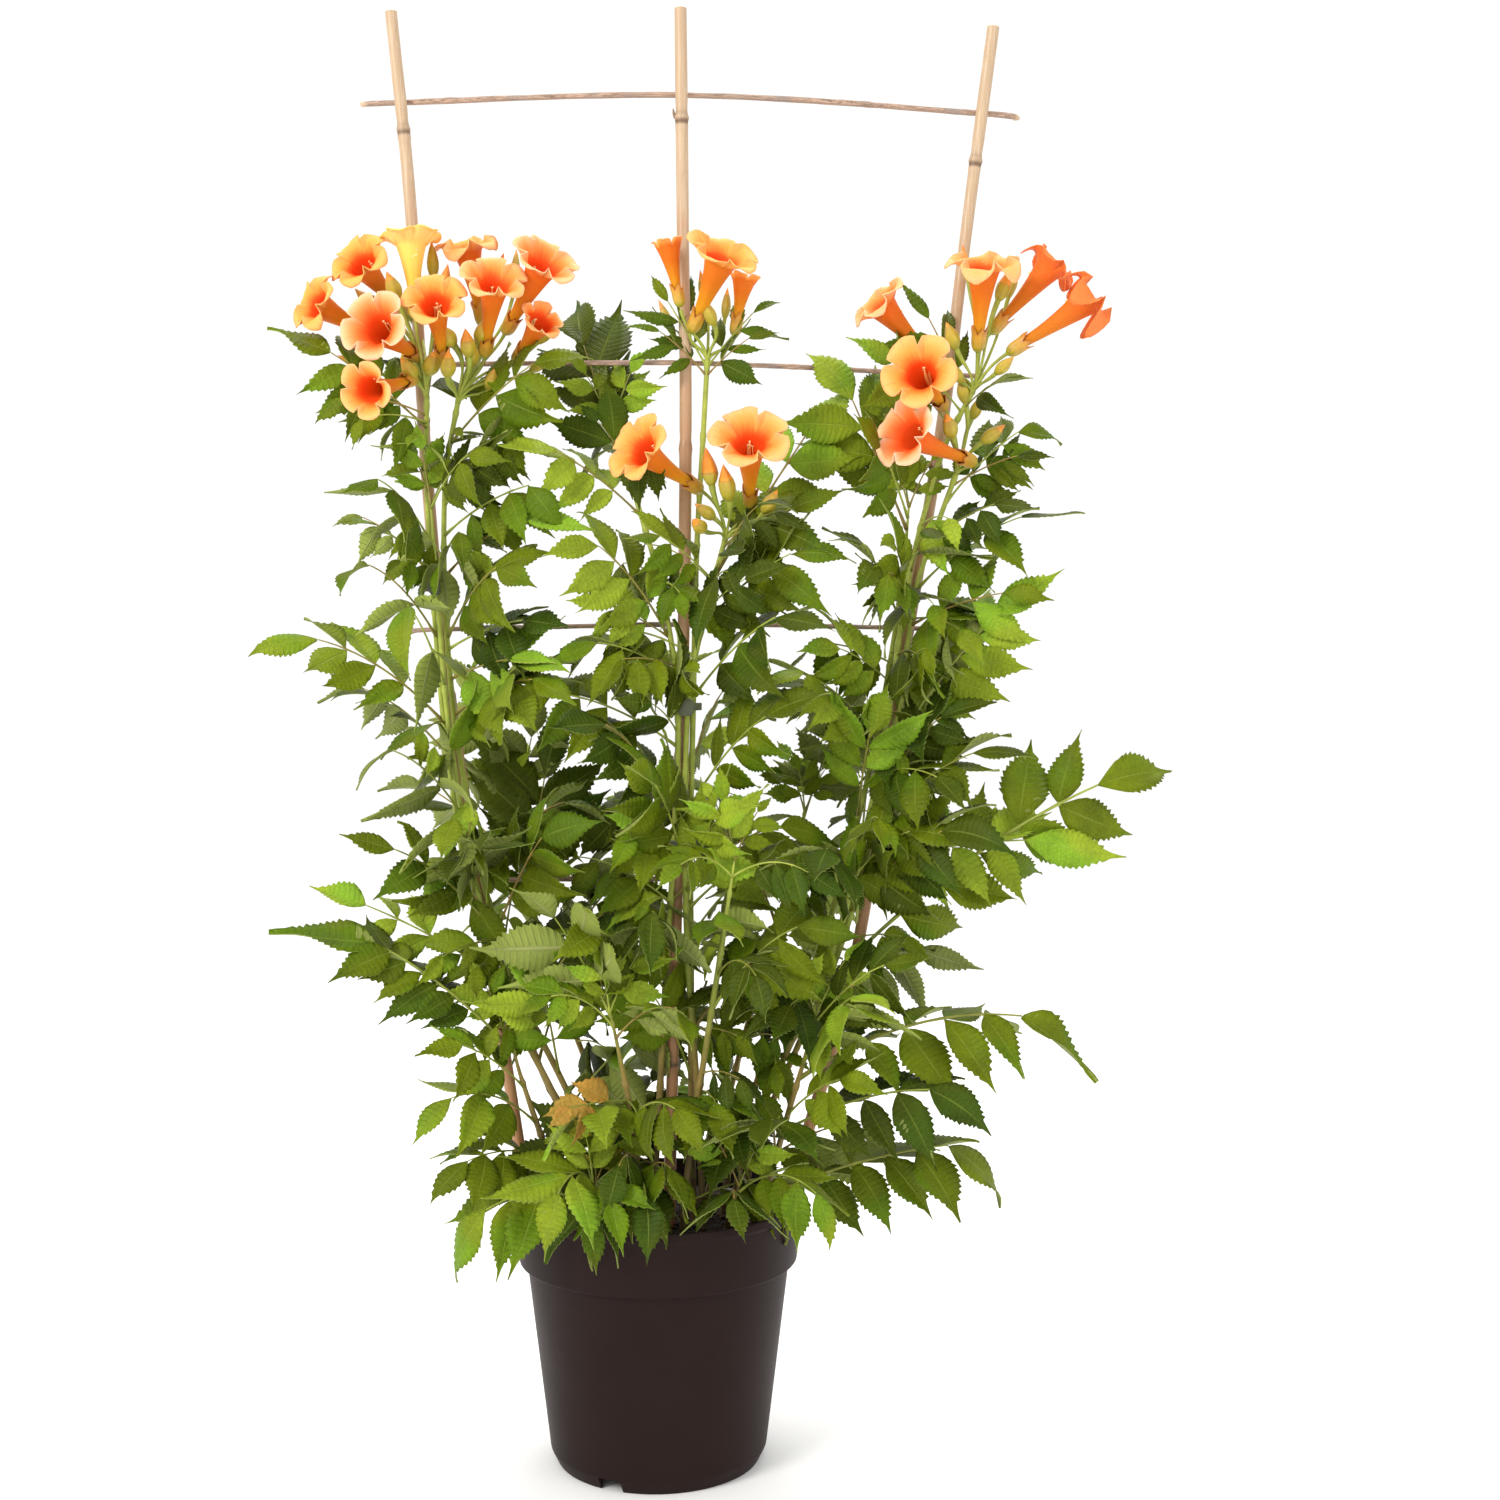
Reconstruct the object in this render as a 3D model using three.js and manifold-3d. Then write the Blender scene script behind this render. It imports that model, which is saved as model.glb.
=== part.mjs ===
// Trumpet vine in a round nursery pot, trained on a fan of three bamboo canes with four cross rails.
// Millimetres, +Z up. The origin is the centre of the pot's flat underside, +X is to the right of
// someone who faces the plant, and the front of the plant faces -Y.
import * as THREE from 'three';
import { mergeVertices } from 'three/addons/utils/BufferGeometryUtils.js';
import Module from 'manifold-3d';

const wasm = await Module();
wasm.setup();

// ---------------------------------------------------------------- driving dimensions
const SEAT_GAP = 0.3;

const POT_HEIGHT = 222;
const POT_SIDES = 24;
const POT_WALL = 2.6;
const RIM_RADIUS = 121.5;
const LIP_HEIGHT = 8;
const LIP_WIDTH = 1;
const BAND_BOTTOM = 169.5;
const BAND_RADIUS = 116.5;
const STEP_HEIGHT = 1.5;
const WALL_TOP_RADIUS = 110;
const WALL_FOOT_RADIUS = 91;
const FOOT_RADIUS = 85;
const FOOT_CHAMFER = 12;
const FLOOR_RISE = 14;
const GROOVE_DRAFT = 1;
const CENTRE_DISC_RADIUS = 66;
const NOTCH_WIDTH = 20;
const NOTCH_HEIGHT = 11;
const NOTCH_ANGLES = [-24, 96, 216];
const SLOT_WIDTH = 14;
const SLOT_DEPTH = 9;
const SLOT_RADIUS = 74.5;

const SOIL_EDGE = 196;
const SOIL_CENTRE = 201;
const SOIL_SLACK = 0.4;
const HOLE_DEPTH = 66;
const HOLE_CLEARANCE = 0.45;

const CANE_RADIUS = 5.2;
const CANE_SIDES = 8;
const CANE_STEPS = 8;
const RAIL_RADIUS = 3;
const RAIL_SIDES = 6;
const RAIL_STEPS = 8;
const CROSSING_GAP = 8.3;

const TIE_HEIGHT = 6;
const TIE_THICKNESS = 1.5;
const TIE_SIDES = 12;

const STEM_SIDES = 5;
const STEM_FOOT_RADIUS = 2.4;
const STEM_TOP_RADIUS = 1.7;
const STALK_SIDES = 4;
const STALK_RADIUS = 1.4;

const BLADE_THICKNESS = 0.8;
const BLADE_HALF_WIDTH = 0.26;
const BLADE_FOLD = 0.28;
const RACHIS_HALF_WIDTH = 1.2;
const RACHIS_HALF_HEIGHT = 1;
const RACHIS_TAPER = 0.3;
const PETIOLE_SHARE = 0.22;
const TERMINAL_SHARE = 0.31;
const LEAFLET_TO_SPACING = 1.8;
const LEAFLET_MAX = 66;
const NODE_HALF_LENGTH = 1.6;
const FIRST_PAIR_SPREAD = 58;
const SPREAD_LOSS = 10;
const DROOP = 20;

const BLOOM_SIDES = 10;
const LOBES = 5;
const MOUTH_RADIUS = 31;
const MARGIN_THICKNESS = 1;
const LOBE_SHOULDERS = [21, 51];
const TUBE_FOOT_RADIUS = 4.6;
const TUBE_WAIST_RADIUS = 7;
const THROAT_WALL = 2;
const CALYX_LENGTH = 15;
const CALYX_RADIUS = 5.2;

// How far a leaf may stray from its row, each way: its bend as a share of its length, the rest in degrees.
const STRAY = { bend: 0.03, turn: 12, spread: 6, tipTurn: 8, droop: 10, twist: 14 };
const LEAFLET_SCALE = [0.9, 1.06];

// Stations of a bloom as shares of its length, and radii as shares of its mouth's.
const BLOOM_STATIONS = { waist: 0.45, throatBottom: 0.5, throat: 0.84, mouth: 0.88 };
const BLOOM_SHARES = { mouth: 0.3, throat: 0.38, lobeNotch: 0.6 };

// The calyx's belly stands this share of its length below its mouth, and the bud's above its foot.
const CALYX_SHAPE = { belly: 0.6, footRadius: 1.2 * STALK_RADIUS, bellyRadius: 0.85 * CALYX_RADIUS };
const BUD_SHAPE = { belly: 0.62, footShare: 0.55, tipShare: 0.3 };

// ---------------------------------------------------------------- layout, chosen by eye
// Each cane runs from its foot in the soil to its top.
const CANES = {
  left: [[-82, 0, 100], [-97, 0, 165], [-109.5, 0, 216], [-128, 0, 335], [-175, 15, 637], [-194, 22, 822],
    [-207, 28, 1044], [-223, 30, 1212]],
  middle: [[9, -20, 90], [10, -20, 222], [12, -18, 305], [17, -15, 514], [22, -12, 687], [24, -8, 885],
    [22, -5, 1008], [20, 0, 1205]],
  right: [[82, 0, 100], [97, 0, 165], [109, 0, 216], [123, 0, 266], [165, 6, 417], [204, 18, 658],
    [238, 26, 864], [259, 32, 1032], [281, 35, 1201]],
};

// A rail lies behind the three canes: its end at the left, its height at each cane, its end at the right.
const RAILS = {
  rail_top: { start: [-251, 44, 1139], heights: [1139, 1136, 1131], end: [303, 50, 1129] },
  rail_upper: { start: [-218, 38, 919], heights: [919, 916, 911], end: [273, 44, 911] },
  rail_middle: { start: [-213, 32, 694], heights: [696, 700, 697], end: [229, 34, 695] },
  rail_low: { start: [-174, 22, 485], heights: [485, 488, 483], end: [194, 23, 483] },
};

// A tie is an oval band round a cane and the stems beside it: centre and inner half widths.
const TIES = {
  tie_left: { centre: [-184.4, 10.6, 732], half: [12.6, 14.2] },
  tie_middle_upper: { centre: [23, -15.4, 632], half: [12.8, 10] },
  tie_middle_lower: { centre: [20.8, -17.2, 520], half: [13, 10.8] },
  tie_right: { centre: [210.9, 17, 724], half: [13, 11.6] },
};

// Every stem stands upright in its hole up to the soil, then follows these points.
const STEMS = {
  stem_left_a: [[-45, -15, 205], [-62, -20, 260], [-90, -22, 320], [-128, -16, 393], [-156, -4, 475],
    [-171, 2, 560], [-181, 5, 640], [-188, 8, 732], [-192, 4, 822], [-188, -15, 888]],
  stem_left_b: [[-38, -2, 205], [-55, -8, 265], [-82, -12, 325], [-115, -10, 393], [-143, -2, 475],
    [-160, 0, 560], [-172, 5, 640], [-178, 8, 732], [-176, 4, 822], [-163, -10, 885]],
  stem_left_c: [[-54, 4, 205], [-66, -2, 260], [-96, -8, 325], [-122, -2, 393], [-148, -14, 475],
    [-165, -9, 560], [-176, -4, 640], [-183, -0.5, 732], [-186, -10, 800]],
  stem_middle_a: [[30, -14, 205], [28, -13, 305], [28, -13, 420], [27.5, -13.5, 520], [30, -13, 632],
    [33, -10, 760], [38, -6, 850], [42, -5, 920]],
  stem_middle_b: [[38, -28, 205], [34, -26, 305], [26, -25, 420], [23.5, -22.5, 520], [26, -21, 632],
    [38, -22, 700], [57, -25, 771]],
  stem_middle_c: [[-4, -24, 205], [2, -26, 305], [8, -26, 420], [14.5, -23.5, 520], [17.5, -21.5, 632],
    [6, -16, 720], [-16, -4, 800], [-38, 4, 865]],
  stem_right_a: [[70, 2, 205], [84, 0, 270], [118, -4, 350], [152, -4, 430], [178, 0, 520], [199, 4, 610],
    [215, 10, 724], [232, 6, 780], [249, 0, 828]],
  stem_right_b: [[62, -8, 205], [75, -12, 270], [110, -14, 350], [146, -12, 430], [171, -6, 520],
    [190, 0, 610], [207, 12, 724], [222, 15, 790], [240, 12, 850], [262, 0, 894]],
  stem_right_c: [[54, 6, 205], [66, 8, 270], [98, 4, 350], [136, 4, 430], [163, 8, 520], [184, 12, 610],
    [203.5, 20, 724], [210, 14, 800]],
  shoot_low_right: [[80, -28, 205], [92, -36, 240], [108, -46, 300], [122, -54, 350], [130, -60, 385]],
  shoot_low_left: [[-70, -22, 205], [-82, -30, 240], [-98, -38, 290], [-112, -42, 335], [-120, -44, 370]],
  shoot_front_left: [[-40, -55, 205], [-44, -66, 225], [-48, -80, 250]],
  shoot_front: [[-12, -42, 205], [-14, -52, 250], [-20, -66, 310], [-28, -82, 360], [-34, -95, 394]],
  shoot_front_tall: [[22, -50, 205], [28, -56, 270], [40, -68, 350], [54, -84, 440], [65, -98, 515]],
  shoot_front_right: [[58, -52, 205], [62, -62, 225], [68, -76, 250]],
  shoot_back_left: [[-30, 40, 205], [-50, 55, 280], [-85, 68, 370], [-115, 75, 460], [-135, 78, 540]],
  shoot_back_right: [[40, 38, 205], [58, 52, 290], [85, 66, 390], [112, 74, 480], [125, 78, 540]],
};

// Compound leaves: stem, height where the leaf joins it, tip, rise of its arch, turn of its upper side
// from the sky (0) to the front (90), pairs of leaflets and the seed of its own small variations.
const LEAVES = [
  ['stem_left_a', 862, [-300, -48, 940], 6, 55, 2, 172],
  ['stem_left_a', 770, [-231, -112, 812], 18, 50, 2, 1],
  ['stem_left_a', 690, [-250, -100, 748], 20, 45, 2, 1],
  ['stem_left_a', 618, [-324, -62, 690], 24, 40, 3, 1],
  ['stem_left_a', 470, [-134, -140, 538], 14, 60, 2, 1],
  ['stem_left_a', 590, [-290, 60, 650], 18, -40, 2, 6],
  ['stem_left_a', 740, [-285, 62, 800], 14, -40, 2, 1],
  ['stem_left_b', 850, [-61, -60, 925], 10, 50, 2, 44],
  ['stem_left_b', 740, [-68, -84, 787], 16, 50, 2, 1],
  ['stem_left_b', 600, [-78, -100, 680], 14, 40, 2, 1],
  ['stem_left_c', 650, [-194, -150, 718], 20, 50, 2, 6],
  ['stem_left_c', 540, [-230, -120, 602], 20, 45, 2, 1],
  ['stem_left_c', 450, [-237, -110, 528], 20, 45, 2, 1],
  ['stem_left_c', 400, [-297, -30, 489], 10, 35, 3, 1],
  ['stem_middle_a', 690, [147, -90, 764], 18, 50, 2, 3],
  ['stem_middle_a', 640, [127, -140, 712], 18, 50, 2, 8],
  ['stem_middle_a', 550, [120, -120, 640], 18, 45, 2, 1],
  ['stem_middle_b', 742, [160, 0, 912], 2, 70, 3, 4],
  ['stem_middle_b', 500, [-8, -150, 590], 16, 50, 2, 1],
  ['stem_middle_c', 850, [-76, 44, 975], 2, 75, 2, 1],
  ['stem_middle_c', 790, [-110, -60, 850], 10, 55, 2, 2],
  ['stem_middle_c', 690, [-71, -100, 775], 16, 50, 2, 1],
  ['stem_middle_c', 600, [-125, -90, 640], 20, 45, 2, 2],
  ['stem_right_a', 800, [330, -10, 875], 10, 55, 2, 1],
  ['stem_right_a', 730, [338, -60, 791], 18, 45, 2, 2],
  ['stem_right_a', 600, [320, -40, 748], 8, 60, 3, 1],
  ['stem_right_a', 530, [287, -110, 603], 20, 40, 2, 1],
  ['stem_right_a', 460, [262, -110, 545], 20, 45, 2, 24],
  ['stem_right_a', 400, [419, -40, 591], 26, 55, 4, 1],
  ['stem_right_b', 700, [150, -100, 775], 16, 50, 2, 1],
  ['stem_right_b', 600, [90, -90, 667], 18, 45, 2, 1],
  ['stem_right_b', 460, [130, -150, 530], 18, 50, 2, 1],
  ['stem_right_c', 780, [140, -20, 930], 4, 60, 2, 6],
  ['stem_right_c', 590, [96, 66, 660], 14, -40, 2, 6],
  ['stem_right_c', 610, [275, 105, 680], 14, -40, 2, 7],
  ['shoot_low_right', 228, [302, -80, 285], 14, 40, 3, 1],
  ['shoot_low_right', 330, [366, -70, 367], 34, 35, 4, 1],
  ['shoot_low_right', 285, [273, -130, 330], 20, 45, 2, 89],
  ['shoot_low_right', 262, [92, -190, 318], 20, 45, 2, 1],
  ['shoot_low_right', 375, [206, -140, 440], 16, 50, 2, 1],
  ['shoot_low_left', 350, [-281, -70, 465], 18, 35, 3, 1],
  ['shoot_low_left', 290, [-190, -130, 308], 26, 40, 3, 1],
  ['shoot_low_left', 320, [-170, -120, 372], 12, 55, 2, 40],
  ['shoot_front_left', 225, [-174, -145, 205], 34, 35, 3, 1],
  ['shoot_front_left', 246, [-82, -195, 228], 34, 45, 2, 1],
  ['shoot_front_left', 238, [-22, -190, 226], 30, 40, 2, 1],
  ['shoot_front', 380, [-100, -150, 400], 20, 50, 2, 1],
  ['shoot_front', 370, [40, -160, 392], 20, 50, 2, 1],
  ['shoot_front', 388, [-98, -118, 499], 8, 60, 2, 1],
  ['shoot_front_tall', 500, [5, -160, 492], 22, 50, 2, 1],
  ['shoot_front_tall', 500, [150, -130, 480], 22, 50, 2, 3],
  ['shoot_front_tall', 420, [95, -180, 400], 26, 45, 2, 1],
  ['shoot_front_right', 240, [158, -165, 222], 34, 35, 2, 1],
  ['shoot_back_left', 520, [-104, 60, 640], 4, -60, 2, 1],
  ['shoot_back_left', 535, [-190, 110, 680], 10, -40, 2, 4],
  ['shoot_back_left', 480, [-256, 130, 570], 20, -30, 3, 1],
  ['shoot_back_left', 420, [-30, 150, 520], 16, -40, 2, 1],
  ['shoot_back_right', 530, [165, 112, 650], 6, -60, 2, 1],
  ['shoot_back_right', 470, [250, 120, 500], 20, -30, 3, 1],
  ['shoot_back_right', 440, [30, 130, 560], 16, -40, 2, 1],
  ['shoot_back_right', 360, [150, 170, 408], 20, -30, 2, 1],
];

// Blooms: node name, stem that bears it, seat on its calyx, centre of its mouth, size of its mouth.
const BLOOMS = [
  ['bloom_left_1', 'stem_left_a', [-236, 0, 941], [-278, -40, 961], 0.8],
  ['bloom_left_2', 'stem_left_a', [-216, 10, 966], [-241, -37, 996], 0.86],
  ['bloom_left_3', 'stem_left_a', [-195, -30, 961], [-199, -24, 1017], 0.82],
  ['bloom_left_4', 'stem_left_a', [-198, -26, 921], [-219, -87, 934], 0.93],
  ['bloom_left_5', 'stem_left_a', [-202, -32, 897], [-226, -86, 882], 0.75],
  ['bloom_left_6', 'stem_left_b', [-173, -30, 922], [-171, -80, 956], 0.85],
  ['bloom_left_7', 'stem_left_b', [-138, -22, 930], [-125, -66, 975], 0.87],
  ['bloom_left_8', 'stem_left_b', [-119, -6, 950], [-86, -46, 994], 0.92],
  ['bloom_left_9', 'stem_left_b', [-149, 20, 964], [-158, 2, 1018], 0.85],
  ['bloom_left_10', 'stem_left_b', [-112, -6, 925], [-90, -36, 948], 0.6],
  ['bloom_right_1', 'stem_right_b', [224, 8, 926], [180, -10, 968], 0.85],
  ['bloom_right_2', 'stem_right_a', [232, -20, 882], [209, -77, 900], 1],
  ['bloom_right_3', 'stem_right_a', [252, -20, 836], [197, -66, 853], 0.98],
  ['bloom_right_4', 'stem_right_b', [265, -10, 938], [266, -36, 996], 1],
  ['bloom_right_5', 'stem_right_b', [286, 8, 953], [330, 4, 1002], 0.8],
  ['bloom_right_6', 'stem_right_b', [300, -15, 930], [361, -28, 970], 0.85],
  ['bloom_middle_1', 'stem_middle_a', [34, -24, 950], [57, -54, 998], 1],
  ['bloom_middle_2', 'stem_middle_a', [66, -5, 950], [73, -8, 988], 0.45],
  ['bloom_middle_3', 'stem_middle_a', [18, -26, 970], [10, -31, 1012], 0.42],
  ['bloom_middle_4', 'stem_middle_b', [28, -30, 815], [-14, -72, 841], 0.95],
  ['bloom_middle_5', 'stem_middle_b', [77, -27, 806], [77, -80, 849], 1.05],
];

// Buds: stem that bears it, foot of the bud, tip of the bud, its greatest radius.
const BUDS = [
  ['stem_left_a', [-184, -2, 985], [-185, -4, 1012], 5],
  ['stem_left_a', [-214, -26, 948], [-222, -40, 962], 4],
  ['stem_left_a', [-240, 8, 912], [-262, 4, 922], 4.5],
  ['stem_left_b', [-120, 20, 985], [-118, 18, 1010], 4],
  ['stem_left_b', [-104, -10, 908], [-88, -14, 917], 4],
  ['stem_right_b', [258, 8, 985], [254, 10, 1012], 4.5],
  ['stem_right_b', [294, 30, 975], [302, 34, 1004], 4.5],
  ['stem_right_a', [262, 14, 872], [270, 12, 890], 5],
  ['stem_right_a', [268, -10, 850], [284, -16, 862], 6],
  ['stem_middle_a', [12, 14, 945], [2, 14, 968], 4],
  ['stem_middle_a', [56, 12, 955], [58, 14, 978], 4],
  ['stem_middle_b', [46, -44, 812], [42, -50, 838], 7],
  ['stem_middle_b', [40, -48, 775], [32, -62, 782], 6],
  ['stem_middle_b', [92, -30, 775], [108, -34, 784], 4],
];

// ---------------------------------------------------------------- finishes
const finish = (color, roughness) => new THREE.MeshStandardMaterial({ color, roughness, metalness: 0 });
const POT_PLASTIC = finish(0x342f30, 0.55);
const SOIL_MIX = finish(0x2a1d15, 0.95);
const BAMBOO = finish(0xd9bd86, 0.5);
const SPLIT_BAMBOO = finish(0xa58f76, 0.8);
const TIE_PLASTIC = finish(0x3c423d, 0.6);
const FOLIAGE = finish(0x4a7a28, 0.5);
const PETAL = finish(0xf98b45, 0.5);

// ---------------------------------------------------------------- shared geometry
const UP = new THREE.Vector3(0, 0, 1);
const FRONT = new THREE.Vector3(0, -1, 0);
const vector = (point) => new THREE.Vector3(...point);
const radians = THREE.MathUtils.degToRad;

// A smooth curve through every point.
const smoothCurve = (points) => new THREE.CatmullRomCurve3(points.map(vector), false, 'catmullrom', 0.5);

// A seeded source of even random numbers between two limits.
function drawsFrom(seed) {
  let state = seed >>> 0;
  return (low, high) => {
    state = (state + 0x6d2b79f5) >>> 0;
    let mixed = Math.imul(state ^ (state >>> 15), state | 1);
    mixed ^= mixed + Math.imul(mixed ^ (mixed >>> 7), mixed | 61);
    return low + (high - low) * (((mixed ^ (mixed >>> 14)) >>> 0) / 4294967296);
  };
}

function geometryFrom(positions, triangles) {
  const geometry = new THREE.BufferGeometry();
  geometry.setAttribute('position', new THREE.Float32BufferAttribute(positions, 3));
  geometry.setIndex(triangles);
  return geometry;
}

// A closed mesh as a solid: shared corners are merged and faces of no area left out.
function toSolid(geometry) {
  const bare = geometry.clone();
  bare.deleteAttribute('normal');
  bare.deleteAttribute('uv');
  const merged = mergeVertices(bare, 1e-3);
  const corners = merged.index.array;
  const triangles = [];
  for (let i = 0; i < corners.length; i += 3) {
    const [a, b, c] = corners.slice(i, i + 3);
    if (a !== b && b !== c && c !== a) triangles.push(a, b, c);
  }
  return new wasm.Manifold(new wasm.Mesh({
    numProp: 3,
    vertProperties: Float32Array.from(merged.attributes.position.array),
    triVerts: Uint32Array.from(triangles),
  }));
}

function toMesh(name, solid, material) {
  const { vertProperties, triVerts } = solid.getMesh();
  const geometry = geometryFrom(Array.from(vertProperties), Array.from(triVerts));
  geometry.computeVertexNormals();
  const mesh = new THREE.Mesh(geometry, material);
  mesh.name = name;
  return mesh;
}

function regularPolygon(radius, sides) {
  const shape = new THREE.Shape();
  for (let k = 0; k < sides; k += 1) {
    const angle = (2 * Math.PI * k) / sides;
    const corner = [radius * Math.cos(angle), radius * Math.sin(angle)];
    if (k === 0) shape.moveTo(...corner);
    else shape.lineTo(...corner);
  }
  shape.closePath();
  return shape;
}

// A round bar of one radius along a curve.
function bar(curve, radius, sides, steps) {
  const section = regularPolygon(radius, sides);
  return new THREE.ExtrudeGeometry(section, { extrudePath: curve, steps, bevelEnabled: false });
}

// A bar with a radius of its own at each point, closed at both ends.
function taperedBar(points, radii, sides) {
  const positions = [];
  const triangles = [];
  let across = new THREE.Vector3(1, 0, 0);
  points.forEach((point, i) => {
    const before = points[Math.max(i - 1, 0)];
    const after = points[Math.min(i + 1, points.length - 1)];
    const along = i === points.length - 1 ? point.clone().sub(before) : after.clone().sub(before);
    along.normalize();
    across = across.clone().addScaledVector(along, -across.dot(along)).normalize();
    const second = along.clone().cross(across);
    for (let k = 0; k < sides; k += 1) {
      const angle = (2 * Math.PI * k) / sides;
      const corner = point.clone();
      corner.addScaledVector(across, radii[i] * Math.cos(angle));
      corner.addScaledVector(second, radii[i] * Math.sin(angle));
      positions.push(...corner);
      if (i < points.length - 1) {
        const here = i * sides + k;
        const next = i * sides + ((k + 1) % sides);
        triangles.push(here, next, next + sides, here, next + sides, here + sides);
      }
    }
  });
  const last = (points.length - 1) * sides;
  for (let k = 1; k < sides - 1; k += 1) {
    triangles.push(0, k + 1, k);
    triangles.push(last, last + k, last + k + 1);
  }
  return geometryFrom(positions, triangles);
}

function turned(profile) {
  const points = profile.map(([radius, height]) => new THREE.Vector2(radius, height));
  return new THREE.LatheGeometry(points, POT_SIDES).rotateX(Math.PI / 2);
}

// The point of a rising line of points that lies at a height.
function pointAtHeight(line, height) {
  const upper = Math.max(1, line.findIndex((point) => point.z >= height));
  const [below, above] = [line[upper - 1], line[upper]];
  return below.clone().lerp(above, (height - below.z) / (above.z - below.z));
}

const caneCurves = Object.fromEntries(Object.entries(CANES).map(([side, p]) => [side, smoothCurve(p)]));
const stemLines = Object.fromEntries(Object.entries(STEMS).map(([name, p]) => [name, p.map(vector)]));

// ---------------------------------------------------------------- pot and soil
function pot() {
  const floor = FLOOR_RISE + POT_WALL;
  const grooveOuter = FOOT_RADIUS - POT_WALL;
  const innerDisc = CENTRE_DISC_RADIUS - POT_WALL;
  const shell = toSolid(turned([
    [0, 0], [CENTRE_DISC_RADIUS, 0], [CENTRE_DISC_RADIUS + GROOVE_DRAFT, FLOOR_RISE],
    [grooveOuter - GROOVE_DRAFT, FLOOR_RISE], [grooveOuter, 0], [FOOT_RADIUS, 0],
    [WALL_FOOT_RADIUS, FOOT_CHAMFER], [WALL_TOP_RADIUS, BAND_BOTTOM - STEP_HEIGHT],
    [BAND_RADIUS, BAND_BOTTOM], [RIM_RADIUS - LIP_WIDTH, POT_HEIGHT - LIP_HEIGHT],
    [RIM_RADIUS, POT_HEIGHT], [RIM_RADIUS - POT_WALL, POT_HEIGHT],
    [BAND_RADIUS - POT_WALL, BAND_BOTTOM + POT_WALL],
    [WALL_TOP_RADIUS - POT_WALL, BAND_BOTTOM + POT_WALL - STEP_HEIGHT],
    [WALL_FOOT_RADIUS - POT_WALL, floor], [innerDisc + GROOVE_DRAFT, floor],
    [innerDisc, POT_WALL], [0, POT_WALL],
  ]));
  // Each notch opens the foot ring, and a slot above the groove behind it drains the floor.
  const notchCentre = FOOT_RADIUS + GROOVE_DRAFT;
  return NOTCH_ANGLES.reduce((solid, angle) => {
    const notch = new THREE.BoxGeometry(NOTCH_WIDTH, NOTCH_WIDTH, 2 * NOTCH_HEIGHT);
    const slot = new THREE.BoxGeometry(SLOT_WIDTH, SLOT_DEPTH, 4 * POT_WALL);
    notch.translate(0, -notchCentre, 0).rotateZ(radians(angle));
    slot.translate(0, -SLOT_RADIUS, floor).rotateZ(radians(angle));
    return solid.subtract(toSolid(notch)).subtract(toSolid(slot));
  }, shell);
}

function soil() {
  const floor = FLOOR_RISE + POT_WALL + SEAT_GAP;
  const slack = POT_WALL + SOIL_SLACK;
  const bandBottom = BAND_BOTTOM + POT_WALL + SOIL_SLACK;
  const rimSlope = (RIM_RADIUS - LIP_WIDTH - BAND_RADIUS) / (POT_HEIGHT - LIP_HEIGHT - BAND_BOTTOM);
  const edgeRadius = BAND_RADIUS + rimSlope * (SOIL_EDGE - bandBottom) - slack;
  const block = toSolid(turned([
    [0, POT_WALL + SEAT_GAP], [CENTRE_DISC_RADIUS - slack, POT_WALL + SEAT_GAP],
    [CENTRE_DISC_RADIUS - slack + GROOVE_DRAFT, floor], [WALL_FOOT_RADIUS - slack, floor],
    [WALL_TOP_RADIUS - slack, bandBottom - STEP_HEIGHT], [BAND_RADIUS - slack - SOIL_SLACK, bandBottom],
    [edgeRadius, SOIL_EDGE], [0, SOIL_CENTRE],
  ]));
  const canes = Object.values(caneCurves).map((curve) => {
    const foot = curve.getPointAt(0);
    const below = foot.clone().addScaledVector(curve.getTangentAt(0), -2 * SEAT_GAP);
    const radius = CANE_RADIUS + HOLE_CLEARANCE;
    const end = taperedBar([below, foot.clone().lerp(below, -5)], [radius, radius], CANE_SIDES);
    return toSolid(bar(curve, radius, CANE_SIDES, CANE_STEPS)).add(toSolid(end));
  });
  const stems = Object.values(STEMS).map(([[x, y, z]]) => {
    const foot = vector([x, y, z - HOLE_DEPTH - SEAT_GAP]);
    const mouth = vector([x, y, z + HOLE_DEPTH]);
    const radius = STEM_FOOT_RADIUS + HOLE_CLEARANCE;
    return toSolid(taperedBar([foot, mouth], [radius, radius], STEM_SIDES));
  });
  return [...canes, ...stems].reduce((solid, hole) => solid.subtract(hole), block);
}

// ---------------------------------------------------------------- canes, rails and ties
function rail({ start, heights, end }) {
  const crossings = ['left', 'middle', 'right'].map((side, i) => {
    const point = pointAtHeight(caneCurves[side].getSpacedPoints(CANE_STEPS), heights[i]);
    return [point.x, point.y + CROSSING_GAP, point.z];
  });
  return toSolid(bar(smoothCurve([start, ...crossings, end]), RAIL_RADIUS, RAIL_SIDES, RAIL_STEPS));
}

function oval(halfX, halfY) {
  const corners = [];
  for (let k = 0; k < TIE_SIDES; k += 1) {
    const angle = (2 * Math.PI * k) / TIE_SIDES;
    corners.push(new THREE.Vector2(halfX * Math.cos(angle), halfY * Math.sin(angle)));
  }
  return corners;
}

function tie({ centre, half }) {
  const band = new THREE.Shape(oval(half[0] + TIE_THICKNESS, half[1] + TIE_THICKNESS));
  band.holes.push(new THREE.Path(oval(...half)));
  const geometry = new THREE.ExtrudeGeometry(band, { depth: TIE_HEIGHT, bevelEnabled: false });
  return toSolid(geometry.translate(centre[0], centre[1], centre[2] - TIE_HEIGHT / 2));
}

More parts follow.
